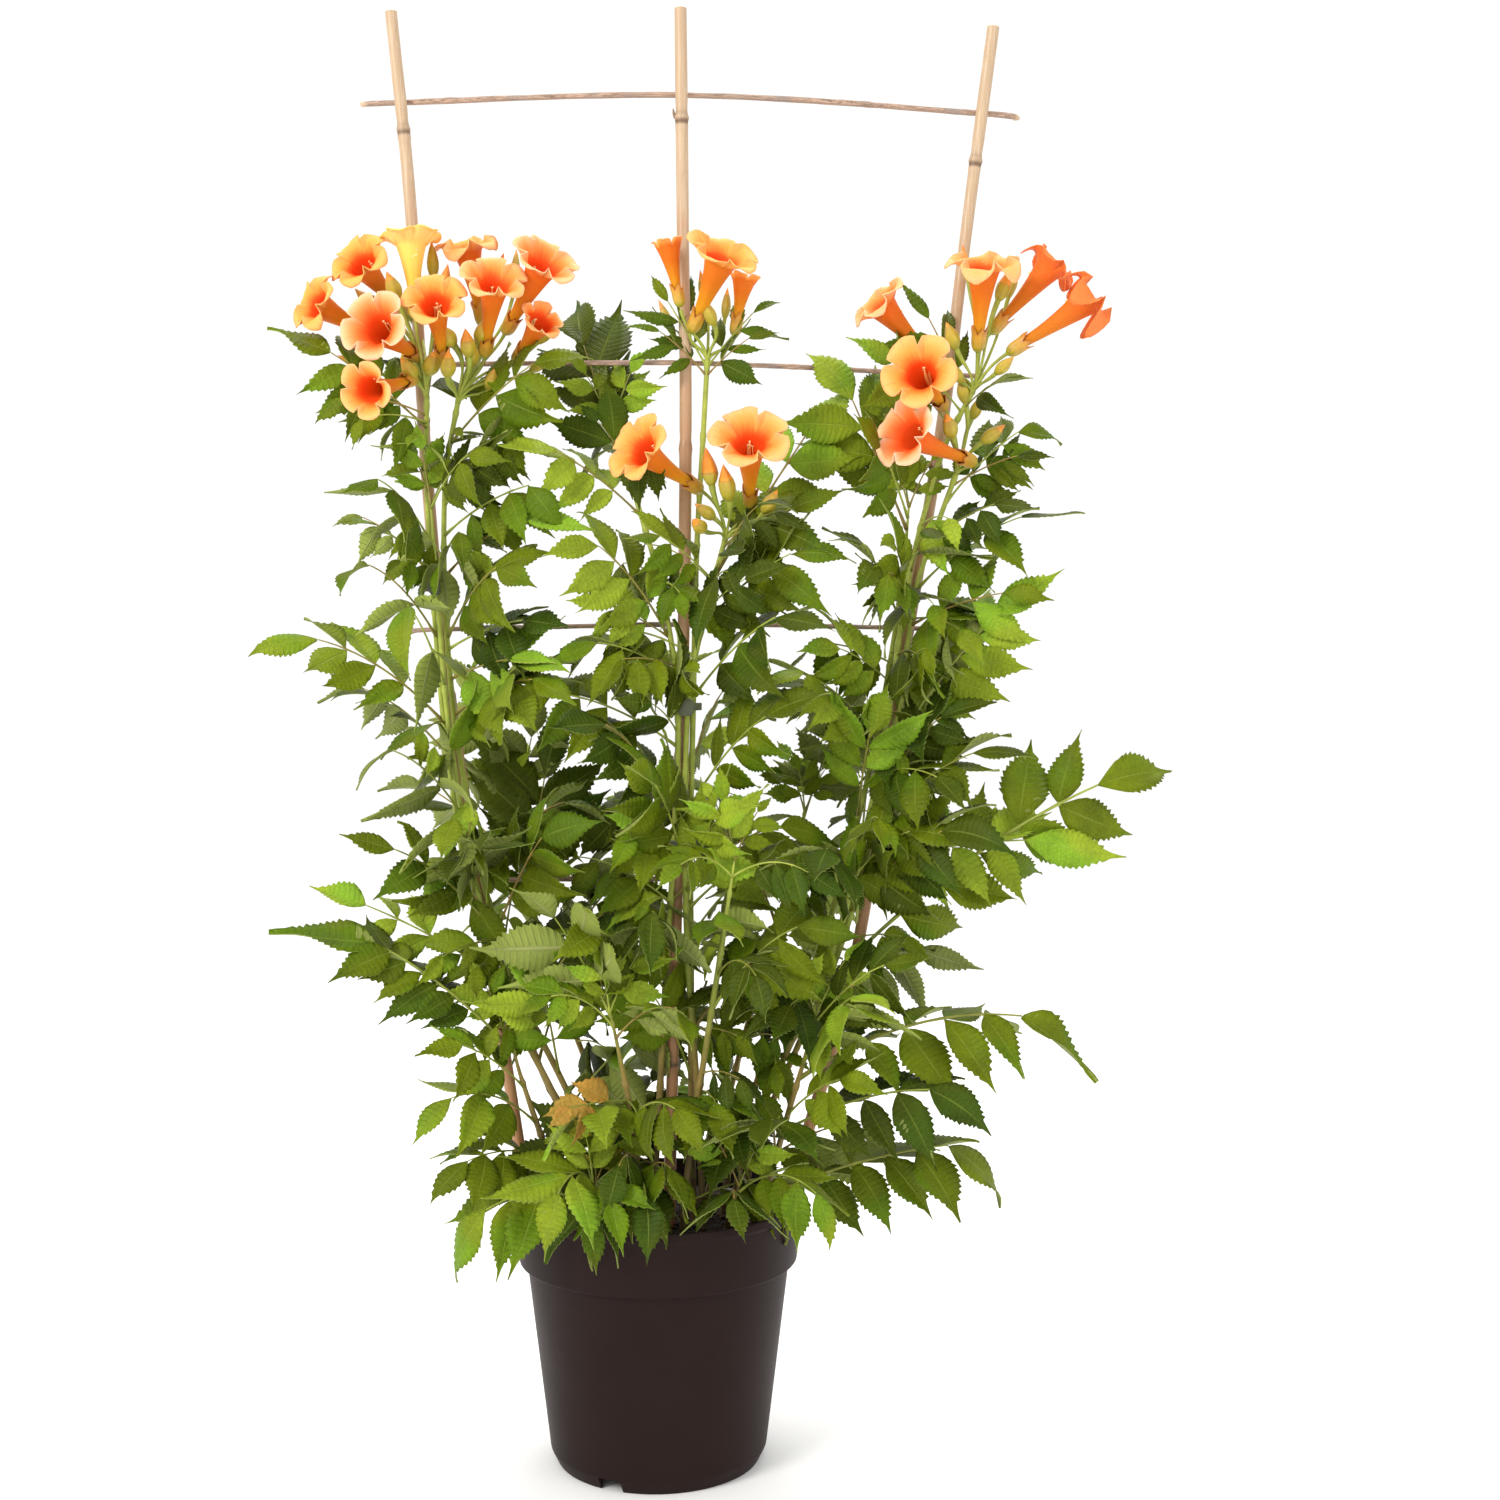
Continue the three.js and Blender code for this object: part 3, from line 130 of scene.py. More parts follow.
# Compound leaves of each stem: height where the leaf joins it, tip, rise of its arch, turn of its upper
# side from the sky (0) to the front (90), pairs of leaflets, seed, and what differs from the rule. A turn
# below 0 shows the underside in front. A shade is 0.2 for dark, 0.7 for young and 0.9 for withered. Scale is
# the leaflets' size, hang how far they sag, slim their width, fan how far the pairs spread and stray how far
# they wander from the rule.
LEAVES = {
    "stem_left_a": [
        (862, (-300, -48, 940), 6, 55, 3, 172),
        (770, (-231, -112, 812), 18, 50, 2, 1, dict(shade=0.34, scale=0.8, hang=0.4)),
        (690, (-250, -100, 748), 20, -40, 1, 1, dict(shade=0.56)),
        (618, (-324, -62, 690), 24, 40, 3, 1, dict(shade=0.52, scale=0.85, hang=0)),
        (470, (-134, -140, 538), 14, 60, 3, 1),
        (590, (-290, 60, 650), 18, -40, 3, 6, dict(scale=0.8)),
        (740, (-285, 62, 800), 14, -40, 3, 1, dict(scale=0.7)),
        (872, (-283, -46, 876), 10, 45, 3, 44),
        (866, (-255, -64, 852), 10, 40, 1, 45, dict(shade=0.44, scale=0.85, hang=0.6)),
        (880, (-182, 16, 946), 3, 60, 1, 83),
        (840, (-196, -50, 856), 4, 50, 1, 85),
    ],
    "stem_left_b": [
        (850, (-61, -60, 925), 10, 50, 3, 44),
        (740, (-68, -84, 787), 16, 50, 1, 1, dict(scale=1.15)),
        (600, (-78, -100, 680), 14, 40, 3, 1, dict(shade=0.6)),
        (690, (-98, -120, 750), 16, 50, 3, 31),
        (810, (-92, -64, 858), 12, 50, 3, 47, dict(shade=0.34, scale=0.9, hang=0.6)),
        (775, (-60, -92, 812), 12, 50, 3, 48, dict(shade=0.4, scale=0.9, hang=0.6)),
        (625, (-62, -110, 652), 14, 35, 3, 56, dict(shade=0.52, hang=0.2)),
        (655, (-88, -96, 672), 6, 65, 2, 60, dict(shade=0.68, hang=0)),
        (680, (-70, -84, 704), 8, 60, 3, 46),
        (800, (-120, -70, 850), 8, 60, 2, 91),
        (530, (-146, -112, 500), 24, -60, 1, 61, dict(shade=0.56, hang=0.8)),
        (842, (-156, -50, 862), 4, 55, 2, 84),
    ],
    "stem_left_c": [
        (650, (-194, -150, 718), 20, -60, 1, 6, dict(shade=0.58, scale=1.1, hang=0.6)),
        (540, (-230, -120, 602), 20, -45, 1, 1, dict(shade=0.56, scale=1.2)),
        (450, (-237, -110, 528), 20, 45, 2, 1, dict(shade=0.34, scale=0.8, hang=0)),
        (400, (-297, -30, 489), 10, 35, 3, 1, dict(shade=0.66, scale=0.75, hang=0)),
        (796, (-128, -84, 838), 12, 45, 3, 49),
    ],
    "stem_middle_a": [
        (690, (147, -90, 764), 18, 50, 3, 3),
        (640, (127, -140, 712), 18, 50, 3, 8),
        (550, (120, -120, 640), 18, 45, 3, 1, dict(shade=0.36, scale=0.85, hang=0)),
        (912, (-4, -22, 985), 3, 60, 2, 36, dict(shade=0.3, slim=0.62, hang=0)),
        (905, (-16, -42, 948), 4, 55, 2, 37, dict(shade=0.34, slim=0.62, hang=0)),
        (912, (98, -20, 972), 3, 60, 2, 38, dict(shade=0.3, slim=0.62, hang=0)),
        (905, (92, -46, 938), 4, 55, 1, 39, dict(shade=0.34, slim=0.62, hang=0)),
        (700, (94, -92, 742), 8, 60, 3, 87),
        (300, (62, -150, 306), 22, 45, 3, 70),
    ],
    "stem_middle_b": [
        (742, (160, 0, 912), 2, 70, 3, 4, dict(shade=0.6, scale=0.9, hang=0)),
        (500, (-8, -150, 590), 16, 50, 3, 1),
        (762, (118, -70, 790), 10, 50, 2, 50),
        (735, (-14, -86, 776), 8, 55, 3, 51),
        (750, (138, -60, 806), 6, 60, 2, 89, dict(shade=0.36, scale=1.1, hang=0)),
        (480, (60, -150, 560), 12, 60, 3, 64),
    ],
    "stem_middle_c": [
        (850, (-76, 44, 975), 2, 88, 2, 1, dict(shade=0.22, scale=1.25, stray=0.4, fan=0.55)),
        (790, (-110, -60, 850), 10, 55, 3, 2),
        (690, (-71, -100, 775), 16, 50, 3, 1),
        (600, (-125, -90, 640), 20, 45, 3, 2),
        (550, (-60, -125, 631), 18, 45, 3, 32),
        (660, (-72, -80, 684), 10, 40, 2, 57, dict(shade=0.44, scale=1.2, hang=0.15)),
        (612, (-12, -90, 640), 6, 70, 1, 58, dict(shade=0.22, scale=1.4, hang=0.05)),
        (640, (32, -96, 668), 8, 60, 3, 77),
        (840, (-56, -24, 874), 4, 80, 1, 90, dict(shade=0.2, scale=1.3, fan=0.7, hang=0)),
        (505, (-8, -120, 590), 6, 70, 3, 62, dict(shade=0.6, hang=0.1)),
        (400, (-62, -150, 470), 14, 50, 4, 65),
        (690, (-66, -60, 722), 6, 60, 3, 82),
    ],
    "stem_right_a": [
        (800, (330, -10, 875), 10, 55, 3, 1),
        (730, (338, -60, 791), 18, 45, 2, 2, dict(shade=0.3, scale=0.85, hang=0.1)),
        (600, (320, -40, 748), 8, 60, 4, 1),
        (530, (287, -110, 603), 20, 40, 2, 1, dict(shade=0.22, scale=0.95, hang=0)),
        (460, (262, -110, 545), 20, 45, 3, 24),
        (400, (419, -40, 591), 26, 80, 5, 1, dict(shade=0.46, scale=1.1, hang=0)),
        (815, (322, -24, 842), 6, 50, 3, 43, dict(shade=0.3, slim=0.66, hang=0)),
        (770, (300, -60, 800), 8, 55, 3, 88),
        (500, (368, -50, 522), 10, 60, 3, 79),
        (700, (317, -60, 727), 8, 70, 2, 63, dict(scale=0.9, hang=0)),
        (722, (232, -66, 700), 10, 50, 1, 72, dict(shade=0.44, scale=1.1)),
        (705, (262, -64, 678), 10, 55, 1, 73, dict(shade=0.5, scale=1.3)),
    ],
    "stem_right_b": [
        (700, (150, -100, 775), 16, 50, 2, 1, dict(shade=0.3, scale=0.7, hang=0)),
        (600, (90, -90, 667), 18, 45, 3, 1),
        (460, (130, -150, 530), 18, 50, 3, 1),
        (886, (208, -14, 978), 4, 60, 2, 40, dict(shade=0.3, slim=0.72, hang=0)),
        (876, (192, -36, 930), 5, 55, 3, 41, dict(shade=0.4, slim=0.66, hang=0)),
        (880, (300, -44, 902), 6, 50, 1, 42, dict(shade=0.26, slim=0.6, hang=0)),
        (862, (170, -46, 930), 6, 60, 2, 59),
        (730, (186, -70, 772), 8, 60, 2, 92),
        (745, (222, -72, 780), 10, 50, 1, 71, dict(shade=0.36, scale=1.1)),
        (650, (128, -70, 684), 8, 70, 3, 74),
        (575, (250, -100, 560), 14, 45, 2, 75, dict(shade=0.3)),
    ],
    "stem_right_c": [
        (780, (140, -20, 930), 4, 60, 3, 6, dict(shade=0.58, hang=0)),
        (590, (96, 66, 660), 14, -40, 3, 6),
        (610, (275, 105, 680), 14, -40, 3, 7),
        (790, (172, -80, 858), 8, 50, 3, 52),
        (540, (178, -92, 640), 6, 70, 3, 76, dict(shade=0.6, hang=0)),
    ],
    "shoot_low_right": [
        (228, (302, -80, 285), 14, 40, 4, 1, dict(shade=0.36)),
        (330, (366, -70, 367), 34, 35, 4, 1, dict(shade=0.46)),
        (285, (273, -130, 330), 20, 45, 3, 89),
        (262, (92, -190, 318), 20, 45, 3, 1),
        (375, (206, -140, 440), 16, 50, 3, 1),
        (300, (165, -140, 350), 10, 60, 3, 81),
    ],
    "shoot_low_left": [
        (350, (-281, -70, 465), 18, 35, 6, 1, dict(shade=0.34, scale=1.3, hang=0.15)),
        (290, (-190, -130, 308), 26, 40, 2, 1, dict(shade=0.56, hang=0.1)),
        (320, (-170, -120, 372), 12, 55, 3, 40),
        (262, (-172, -130, 262), 14, 45, 3, 86),
    ],
    "shoot_front_left": [
        (225, (-174, -145, 205), 34, 35, 3, 1, dict(shade=0.54, scale=1.15)),
        (246, (-82, -195, 228), 34, 45, 2, 1, dict(shade=0.62, scale=1.2)),
        (238, (-22, -190, 226), 30, 40, 3, 1),
        (236, (-48, -84, 348), 4, 75, 2, 54, dict(shade=0.83, scale=0.62, slim=1.1)),
        (230, (-44, -186, 216), 28, 40, 2, 67, dict(shade=0.22, hang=0.5)),
    ],
    "shoot_front": [
        (380, (-100, -150, 400), 20, 50, 3, 1),
        (370, (40, -160, 392), 20, -40, 3, 1, dict(shade=0.5)),
        (388, (-98, -118, 499), 8, -50, 2, 1, dict(shade=0.5, scale=1.2)),
        (300, (39, -175, 312), 20, 50, 3, 35),
        (316, (-84, -140, 318), 4, 80, 2, 53, dict(shade=0.97, scale=0.72, hang=0.3, slim=1.4)),
        (236, (2, -180, 232), 26, 40, 3, 66, dict(shade=0.26, hang=0.5)),
        (262, (-30, -172, 262), 20, 45, 2, 68, dict(shade=0.2, hang=0.6)),
    ],
    "shoot_front_tall": [
        (500, (5, -160, 492), 22, 50, 3, 1),
        (500, (150, -130, 480), 22, 50, 3, 3),
        (420, (95, -180, 400), 26, 45, 3, 1),
    ],
    "shoot_front_right": [
        (240, (158, -165, 222), 34, 35, 3, 1),
        (232, (66, -170, 240), 20, 50, 2, 69),
    ],
    "shoot_back_left": [
        (520, (-104, 60, 640), 4, -60, 3, 1),
        (535, (-190, 110, 680), 10, -40, 3, 4),
        (480, (-256, 130, 570), 20, -30, 2, 1, dict(shade=0.3, scale=0.8)),
        (420, (-30, 150, 520), 16, -40, 3, 1),
        (462, (-89, 40, 623), 2, 80, 3, 55, dict(shade=0.2, scale=1.2, hang=0.02)),
    ],
    "shoot_back_right": [
        (530, (165, 112, 650), 6, -60, 3, 1),
        (470, (250, 120, 500), 20, -30, 4, 1),
        (440, (30, 130, 560), 16, -40, 3, 1),
        (360, (150, 170, 408), 20, -30, 3, 1),
    ],
}

# Blooms: name, stem, seat on the calyx, centre of the mouth, size of the mouth, blush from pale to red,
# how far the lobes turn back.
BLOOMS = [
    ("bloom_left_1", "stem_left_a", (-236, 0, 941), (-278, -40, 961), 0.8, 0.15, 0.3),
    ("bloom_left_2", "stem_left_a", (-216, 10, 966), (-241, -37, 996), 0.86, 0.1, 0.25),
    ("bloom_left_3", "stem_left_a", (-195, -30, 961), (-199, -24, 1017), 0.82, 0.0, 0.12),
    ("bloom_left_4", "stem_left_a", (-198, -26, 921), (-219, -87, 934), 0.93, 0.85, 0.12),
    ("bloom_left_5", "stem_left_a", (-202, -32, 897), (-226, -86, 882), 0.75, 0.35, 0.04),
    ("bloom_left_6", "stem_left_b", (-173, -30, 922), (-171, -80, 956), 0.85, 0.2, 0.12),
    ("bloom_left_7", "stem_left_b", (-138, -22, 930), (-125, -66, 975), 0.87, 0.45, 0.12),
    ("bloom_left_8", "stem_left_b", (-119, -6, 950), (-86, -46, 994), 0.92, 0.6, 0.12),
    ("bloom_left_9", "stem_left_b", (-149, 20, 964), (-158, 2, 1018), 0.85, 0.35, 0.3),
    ("bloom_left_10", "stem_left_b", (-112, -6, 925), (-90, -36, 948), 0.6, 0.4, 0.12),
    ("bloom_right_1", "stem_right_b", (224, 8, 926), (180, -10, 968), 0.85, 0.6, 0.3),
    ("bloom_right_2", "stem_right_a", (232, -20, 882), (209, -77, 900), 1, 0.25, 0.12),
    ("bloom_right_3", "stem_right_a", (252, -20, 836), (197, -66, 853), 0.98, 0.95, 0.12),
    ("bloom_right_4", "stem_right_b", (265, -10, 938), (266, -36, 996), 1, 0.4, 0.32),
    ("bloom_right_5", "stem_right_b", (286, 8, 953), (330, 4, 1002), 0.8, 1.0, 0.5),
    ("bloom_right_6", "stem_right_b", (300, -15, 930), (361, -28, 970), 0.85, 1.0, 0.75),
    ("bloom_middle_1", "stem_middle_a", (34, -24, 950), (57, -54, 998), 1, 0.12, 0.12),
    ("bloom_middle_2", "stem_middle_a", (66, -5, 950), (73, -8, 988), 0.45, 0.2, 0.12),
    ("bloom_middle_3", "stem_middle_a", (18, -26, 970), (10, -31, 1012), 0.42, 0.3, 0.12),
    ("bloom_middle_4", "stem_middle_b", (28, -30, 815), (-14, -72, 841), 0.95, 0.2, 0.12),
    ("bloom_middle_5", "stem_middle_b", (77, -27, 806), (77, -80, 849), 1.05, 0.35, 0.12),
]

# Buds of each stem: foot, tip, greatest radius, how far the petals show.
BUDS = {
    "stem_left_a": [
        ((-184, -2, 985), (-185, -4, 1012), 5, 0.15), ((-214, -26, 948), (-222, -40, 962), 4, 0),
        ((-240, 8, 912), (-262, 4, 922), 4.5, 0.35), ((-232, -6, 960), (-246, -8, 974), 5, 0),
        ((-176, -14, 966), (-170, -20, 990), 6, 0.55), ((-206, -8, 912), (-202, -20, 928), 5.5, 0.1),
        ((-222, -18, 956), (-238, -30, 967), 6, 0.1), ((-208, -34, 962), (-214, -44, 980), 6.5, 0.3),
        ((-186, -20, 904), (-178, -30, 921), 7, 0.25), ((-196, -24, 900), (-204, -38, 913), 6.5, 0.15),
    ],
    "stem_left_b": [
        ((-120, 20, 985), (-118, 18, 1010), 4, 0.2), ((-104, -10, 908), (-88, -14, 917), 4, 0.1),
        ((-168, -34, 900), (-166, -44, 918), 6.5, 0.3), ((-163, -30, 926), (-174, -42, 939), 7, 0.15),
        ((-151, -30, 917), (-152, -42, 935), 6.5, 0.4), ((-145, -22, 930), (-137, -34, 945), 6, 0.2),
        ((-152, -14, 912), (-148, -26, 928), 6, 0.2), ((-136, 8, 976), (-128, 6, 1004), 5.5, 0.9),
        ((-100, 8, 934), (-84, 6, 950), 5, 0.05), ((-138, -8, 894), (-132, -24, 906), 5.5, 0.1),
    ],
    "stem_middle_a": [
        ((12, 14, 945), (2, 14, 968), 4, 0.3), ((56, 12, 955), (58, 14, 978), 4, 0.25),
        ((48, -20, 944), (38, -32, 962), 5.5, 0.2), ((40, 10, 968), (36, 12, 992), 4.5, 0.4),
    ],
    "stem_middle_b": [
        ((46, -44, 812), (42, -50, 838), 7, 0.9), ((40, -48, 775), (32, -62, 782), 6, 0.25),
        ((92, -30, 775), (108, -34, 784), 4, 0.1), ((60, -42, 800), (56, -56, 824), 7, 0.5),
        ((88, -36, 790), (98, -44, 806), 6, 0.15), ((48, -34, 786), (34, -40, 796), 5.5, 0.2),
    ],
    "stem_right_a": [
        ((262, 14, 872), (270, 12, 890), 5, 0), ((268, -10, 850), (284, -16, 862), 6, 0.35),
        ((242, -26, 852), (236, -38, 868), 6.5, 0.3), ((256, 4, 884), (252, 2, 904), 6, 0.3),
    ],
    "stem_right_b": [
        ((258, 8, 985), (254, 10, 1012), 4.5, 0.6), ((294, 30, 975), (302, 34, 1004), 4.5, 0.1),
        ((246, -14, 926), (238, -20, 944), 6, 0.15), ((252, -4, 900), (240, -12, 914), 5, 0.1),
        ((282, 2, 968), (292, 2, 992), 6, 0.75), ((278, -18, 905), (290, -26, 916), 5, 0),
    ],
}

# Leaves: shares of a leaf's length and greatest lengths, how far each part may wander, then single values.
LEAF_SIZES = {"terminal_share": 0.33, "longest": 70.0, "petiole_share": 0.22, "to_spacing": 2.1, "side": 62}
STRAY = {"bend": 0.03, "turn": 12, "spread": 6, "tip_turn": 8, "droop": 10, "twist": 14}
FIRST_PAIR_SPREAD = 58.0
SPREAD_LOSS = 10.0
DROOP = 20.0
LEAFLET_SCALE = (0.94, 1.22)
LEAFLET_WIDTH = 0.218
LEAFLET_FOLD = (0.10, 0.60)
LEAFLET_CAMBER = (0.0, 0.35)
LEAFLET_WAVE = (0.0, 0.035)
LEAFLET_BEND = (-0.2, 1.8)
BLADE_THICKNESS = 0.6
RACHIS_RADII = ((0, 0.06, 0.14, 1), (1.7, 1.45, 1.0, 0.55))
PAIR_STALK = 1.6
END_STALK = 0.4
WOOD_SHADES = (0.45, 1.0)
FILLING_DEPTHS = (-182, 158)
FILLING_HEIGHTS = (228, 985)
FILLING_SCALE = 1.06
FILLING_STRAY = 1.8
SEED_STEP = 977
WITHERED = 0.75
VIEW_DISTANCE = 1650.0

POT_SIDES = 192
POT_WALL = 2.6
POT_FLOOR_RISE = 14.0
POT_FLOOR = POT_FLOOR_RISE + POT_WALL
# Radius and height of each corner, from the middle of the underside, up and round the rim, down to the floor.
POT_PROFILE = (
    (0, 0), (66, 0), (67, POT_FLOOR_RISE), (81.4, POT_FLOOR_RISE), (82.4, 0), (85, 0), (91, 12), (110, 168),
    (116.5, 169.5), (120.3, 213.5), (121.5, 215.5), (121.5, 222), (118.9, 222), (113.9, 172.1),
    (107.4, 170.6), (88.4, POT_FLOOR), (64.4, POT_FLOOR), (63.4, POT_WALL), (0, POT_WALL),
)
# Each drain notch is two cuts: half sizes and centre before it is turned by its angle.
NOTCH_CUTS = (((10, 10, 11), (0, -86, 0)), ((7, 4.5, 5.2), (0, -74.5, POT_FLOOR)))
NOTCH_ANGLES = (-24, 96, 216)

SOIL_TOP = 199.0
SOIL_CROWN = 2.5
SOIL_RADIUS = 116
# Radius and height of each corner of the mix below its surface.
SOIL_PROFILE = ((60, 3.2), (62, 17.2), (88, 17.2), (106.8, 171), (112.8, 173))
# Waves of the surface: length and height.
SOIL_WAVES = ((34, 1.6), (13, 1.2), (5.5, 0.9))
CHIP_SHADES = (0.2, 0.4, 0.6, 0.75, 0.85, 0.97)


# ---------------------------------------------------------------- settings a user would change
def colour_setting(label, text, default):
    return bpy.props.FloatVectorProperty(name=label, description=text, subtype="COLOR", size=3, min=0, max=1,
                                         default=default)


class PotSettings(bpy.types.PropertyGroup):
    colour: colour_setting("Plastic", "Colour of the pot's plastic", (0.017, 0.0090, 0.0080))
    soil: colour_setting("Potting mix", "Colour of the damp potting mix", (0.030, 0.017, 0.010))
    chips: bpy.props.IntProperty(
        name="Bark chips", description="Number of bark chips on the potting mix", default=420, min=0,
        max=2000)


class TrellisSettings(bpy.types.PropertyGroup):
    straw: colour_setting("Cane top", "Colour of the canes near their tops", (0.56, 0.42, 0.28))
    tan: colour_setting("Cane foot", "Colour of the canes near the soil", (0.50, 0.24, 0.11))
    rail: colour_setting("Split rails", "Colour of the weathered split bamboo", (0.37, 0.245, 0.175))
    tie: colour_setting("Ties", "Colour of the soft plastic ties", (0.098, 0.112, 0.058))
    ring_height: bpy.props.FloatProperty(
        name="Node ring", description="How far a cane's node ring stands proud", subtype="DISTANCE",
        unit="LENGTH", default=0.0011, min=0, max=0.003, precision=4)


class FoliageSettings(bpy.types.PropertyGroup):
    dark: colour_setting("Mature leaf", "Colour of the oldest green leaves", (0.050, 0.070, 0.004))
    middle: colour_setting("Leaf", "Colour of most leaves", (0.130, 0.168, 0.004))
    young: colour_setting("Young leaf", "Colour of the young leaves", (0.30, 0.40, 0.028))
    under: colour_setting("Underside", "Colour of the leaves' undersides", (0.27, 0.32, 0.080))
    teeth: bpy.props.IntProperty(
        name="Teeth", description="Greatest number of teeth on each side of a leaflet", default=8, min=3,
        max=8)
    filling: bpy.props.FloatProperty(
        name="Filling", description="Share of the stems' joints that bear a further leaf", subtype="FACTOR",
        default=0.40, min=0, max=1)


class FlowerSettings(bpy.types.PropertyGroup):
    rim: colour_setting("Lobe", "Colour of the lobes", (0.92, 0.37, 0.064))
    throat: colour_setting("Throat", "Colour inside the throat", (0.80, 0.060, 0.008))
    tube: colour_setting("Tube", "Colour of the tube near its calyx", (0.68, 0.27, 0.010))
    calyx: colour_setting("Calyx", "Colour of the calyx", (0.47, 0.31, 0.028))
    columns: bpy.props.IntProperty(
        name="Columns", description="Faces round a bloom", default=60, min=30, max=120)


class StageSettings(bpy.types.PropertyGroup):
    floor: bpy.props.FloatProperty(
        name="Floor width", description="Width of the pale floor", subtype="DISTANCE", unit="LENGTH",
        default=60.0, min=5)
    key: bpy.props.FloatProperty(
        name="Key light", description="Power of the large soft light at the front left", subtype="POWER",
        unit="POWER", default=95.0, min=0)


def settings(name):
    return getattr(bpy.context.scene, name)


# ---------------------------------------------------------------- meshes
class Skin:
    """Points, faces, slots, surface coordinates and shades, gathered until they become one mesh."""

    def __init__(self):
        self.points = []
        self.quads = []
        self.slots = []
        self.across = []
        self.shades = []
        self.count = 0

    def add(self, points, quads, slots=0, across=None, shade=0.5):
        points = np.asarray(points, float).reshape(-1, 3)
        quads = np.asarray(quads, int).reshape(-1, 4)
        size = len(points)
        self.points.append(points)
        self.quads.append(quads + self.count)
        self.slots.append(np.broadcast_to(np.asarray(slots, int), (len(quads),)))
        across = np.zeros((size, 2)) if across is None else np.asarray(across, float).reshape(-1, 2)
        self.across.append(across)
        self.shades.append(np.broadcast_to(np.asarray(shade, float), (size,)))
        self.count += size


def grid_quads(rows, columns, wrap=False):
    """Four-cornered faces of rows of points, each row a ring; wrapped, the last row joins the first."""
    row, column = np.meshgrid(np.arange(rows if wrap else rows - 1), np.arange(columns), indexing="ij")
    beside = (column + 1) % columns
    above = (row + 1) % rows
    here, there = row * columns, above * columns
    return np.stack([here + column, here + beside, there + beside, there + column], axis=-1).reshape(-1, 4)


def around(sides):
    """Angles of points evenly spaced round a ring."""
    return np.arange(sides) * FULL_TURN / sides


def ring_at(reach, angles, height):
    """Points of a ring round the upright axis, or of several rings."""
    return np.stack(np.broadcast_arrays(reach * np.cos(angles), reach * np.sin(angles), height), axis=-1)


def closed_quads(rows, columns):
    """Faces of a grid of rings that is closed at its first and last ring on two further points."""
    k = np.arange(columns)
    after = (k + 1) % columns
    first = np.full(columns, rows * columns)
    last = (rows - 1) * columns
    return np.vstack([grid_quads(rows, columns), np.stack([after, k, first, first], axis=1),
                      np.stack([last + k, last + after, first + 1, first + 1], axis=1)])


def add_rings(skin, rings, ends, slot=0, shade=0.5, across=None):
    """A solid of rows of rings, closed on two end points; its shade is one value, or one a row or point."""
    rings = np.asarray(rings, float)
    rows, columns = rings.shape[:2]
    shade = np.asarray(shade, float)
    if shade.shape == (rows,):
        shade = np.concatenate([np.repeat(shade, columns), shade[[0, -1]]])
    skin.add(np.vstack([rings.reshape(-1, 3), ends]), closed_quads(rows, columns), slot, across, shade)


def smooth_faces(mesh, sharp):
    """Smooth shading, but for edges that turn by more than an angle."""
    mesh.shade_smooth()
    if sharp is not None:
        mesh.set_sharp_from_angle(angle=math.radians(sharp))


def make_object(name, skin, looks, sharp=None):
    """One object from a skin, in metres; a face whose last two corners are one point is a triangle."""
    points, quads, slots, across, shades = (np.concatenate(part) for part in (
        skin.points, skin.quads, skin.slots, skin.across, skin.shades))
    apart = quads != np.roll(quads, -1, axis=1)
    whole = apart.all(axis=1)
    loops = np.concatenate([quads[whole].ravel(), quads[~whole][apart[~whole]]])
    sizes = np.where(np.sort(~whole), 3, 4)
    starts = np.concatenate([[0], np.cumsum(sizes)[:-1]])
    mesh = bpy.data.meshes.new(name)
    mesh.vertices.add(len(points))
    mesh.vertices.foreach_set("co", (points * MM).ravel())
    mesh.loops.add(len(loops))
    mesh.loops.foreach_set("vertex_index", loops)
    mesh.polygons.add(len(sizes))
    mesh.polygons.foreach_set("loop_start", starts)
    mesh.polygons.foreach_set("material_index", np.concatenate([slots[whole], slots[~whole]]))
    mesh.update(calc_edges=True)
    layer = mesh.uv_layers.new(name="Surface")
    layer.data.foreach_set("uv", across[loops].ravel())
    shade = mesh.attributes.new("shade", "FLOAT", "POINT")
    shade.data.foreach_set("value", shades)
    mesh.validate()
    smooth_faces(mesh, sharp)
    for look in looks:
        mesh.materials.append(material_of(look))
    obj = bpy.data.objects.new(name, mesh)
    bpy.context.collection.objects.link(obj)
    return obj


def place(obj, stands_for):
    """Puts an object on the one body, for the node whose solid it stands for."""
    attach(obj, "root")
    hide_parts(stands_for)


def add_piece(name, skin, looks, stands_for, sharp=None):
    """A piece that needs nothing more once its mesh is made."""
    place(make_object(name, skin, looks, sharp), stands_for)


def either_way(draw, most):
    """A random number up to a limit, plus or minus."""
    return draw.uniform(-most, most)


def unit(vector):
    return vector / max(np.linalg.norm(vector), 1e-9)


def bump(distance, width):
    """A smooth rise to 1 and back, where a distance passes through 0."""
    return np.exp(-(distance / width) ** 2)


def run_along(line):
    """How far each point of a line lies from its start."""
    return np.concatenate([[0], np.cumsum(np.linalg.norm(np.diff(line, axis=0), axis=1))])


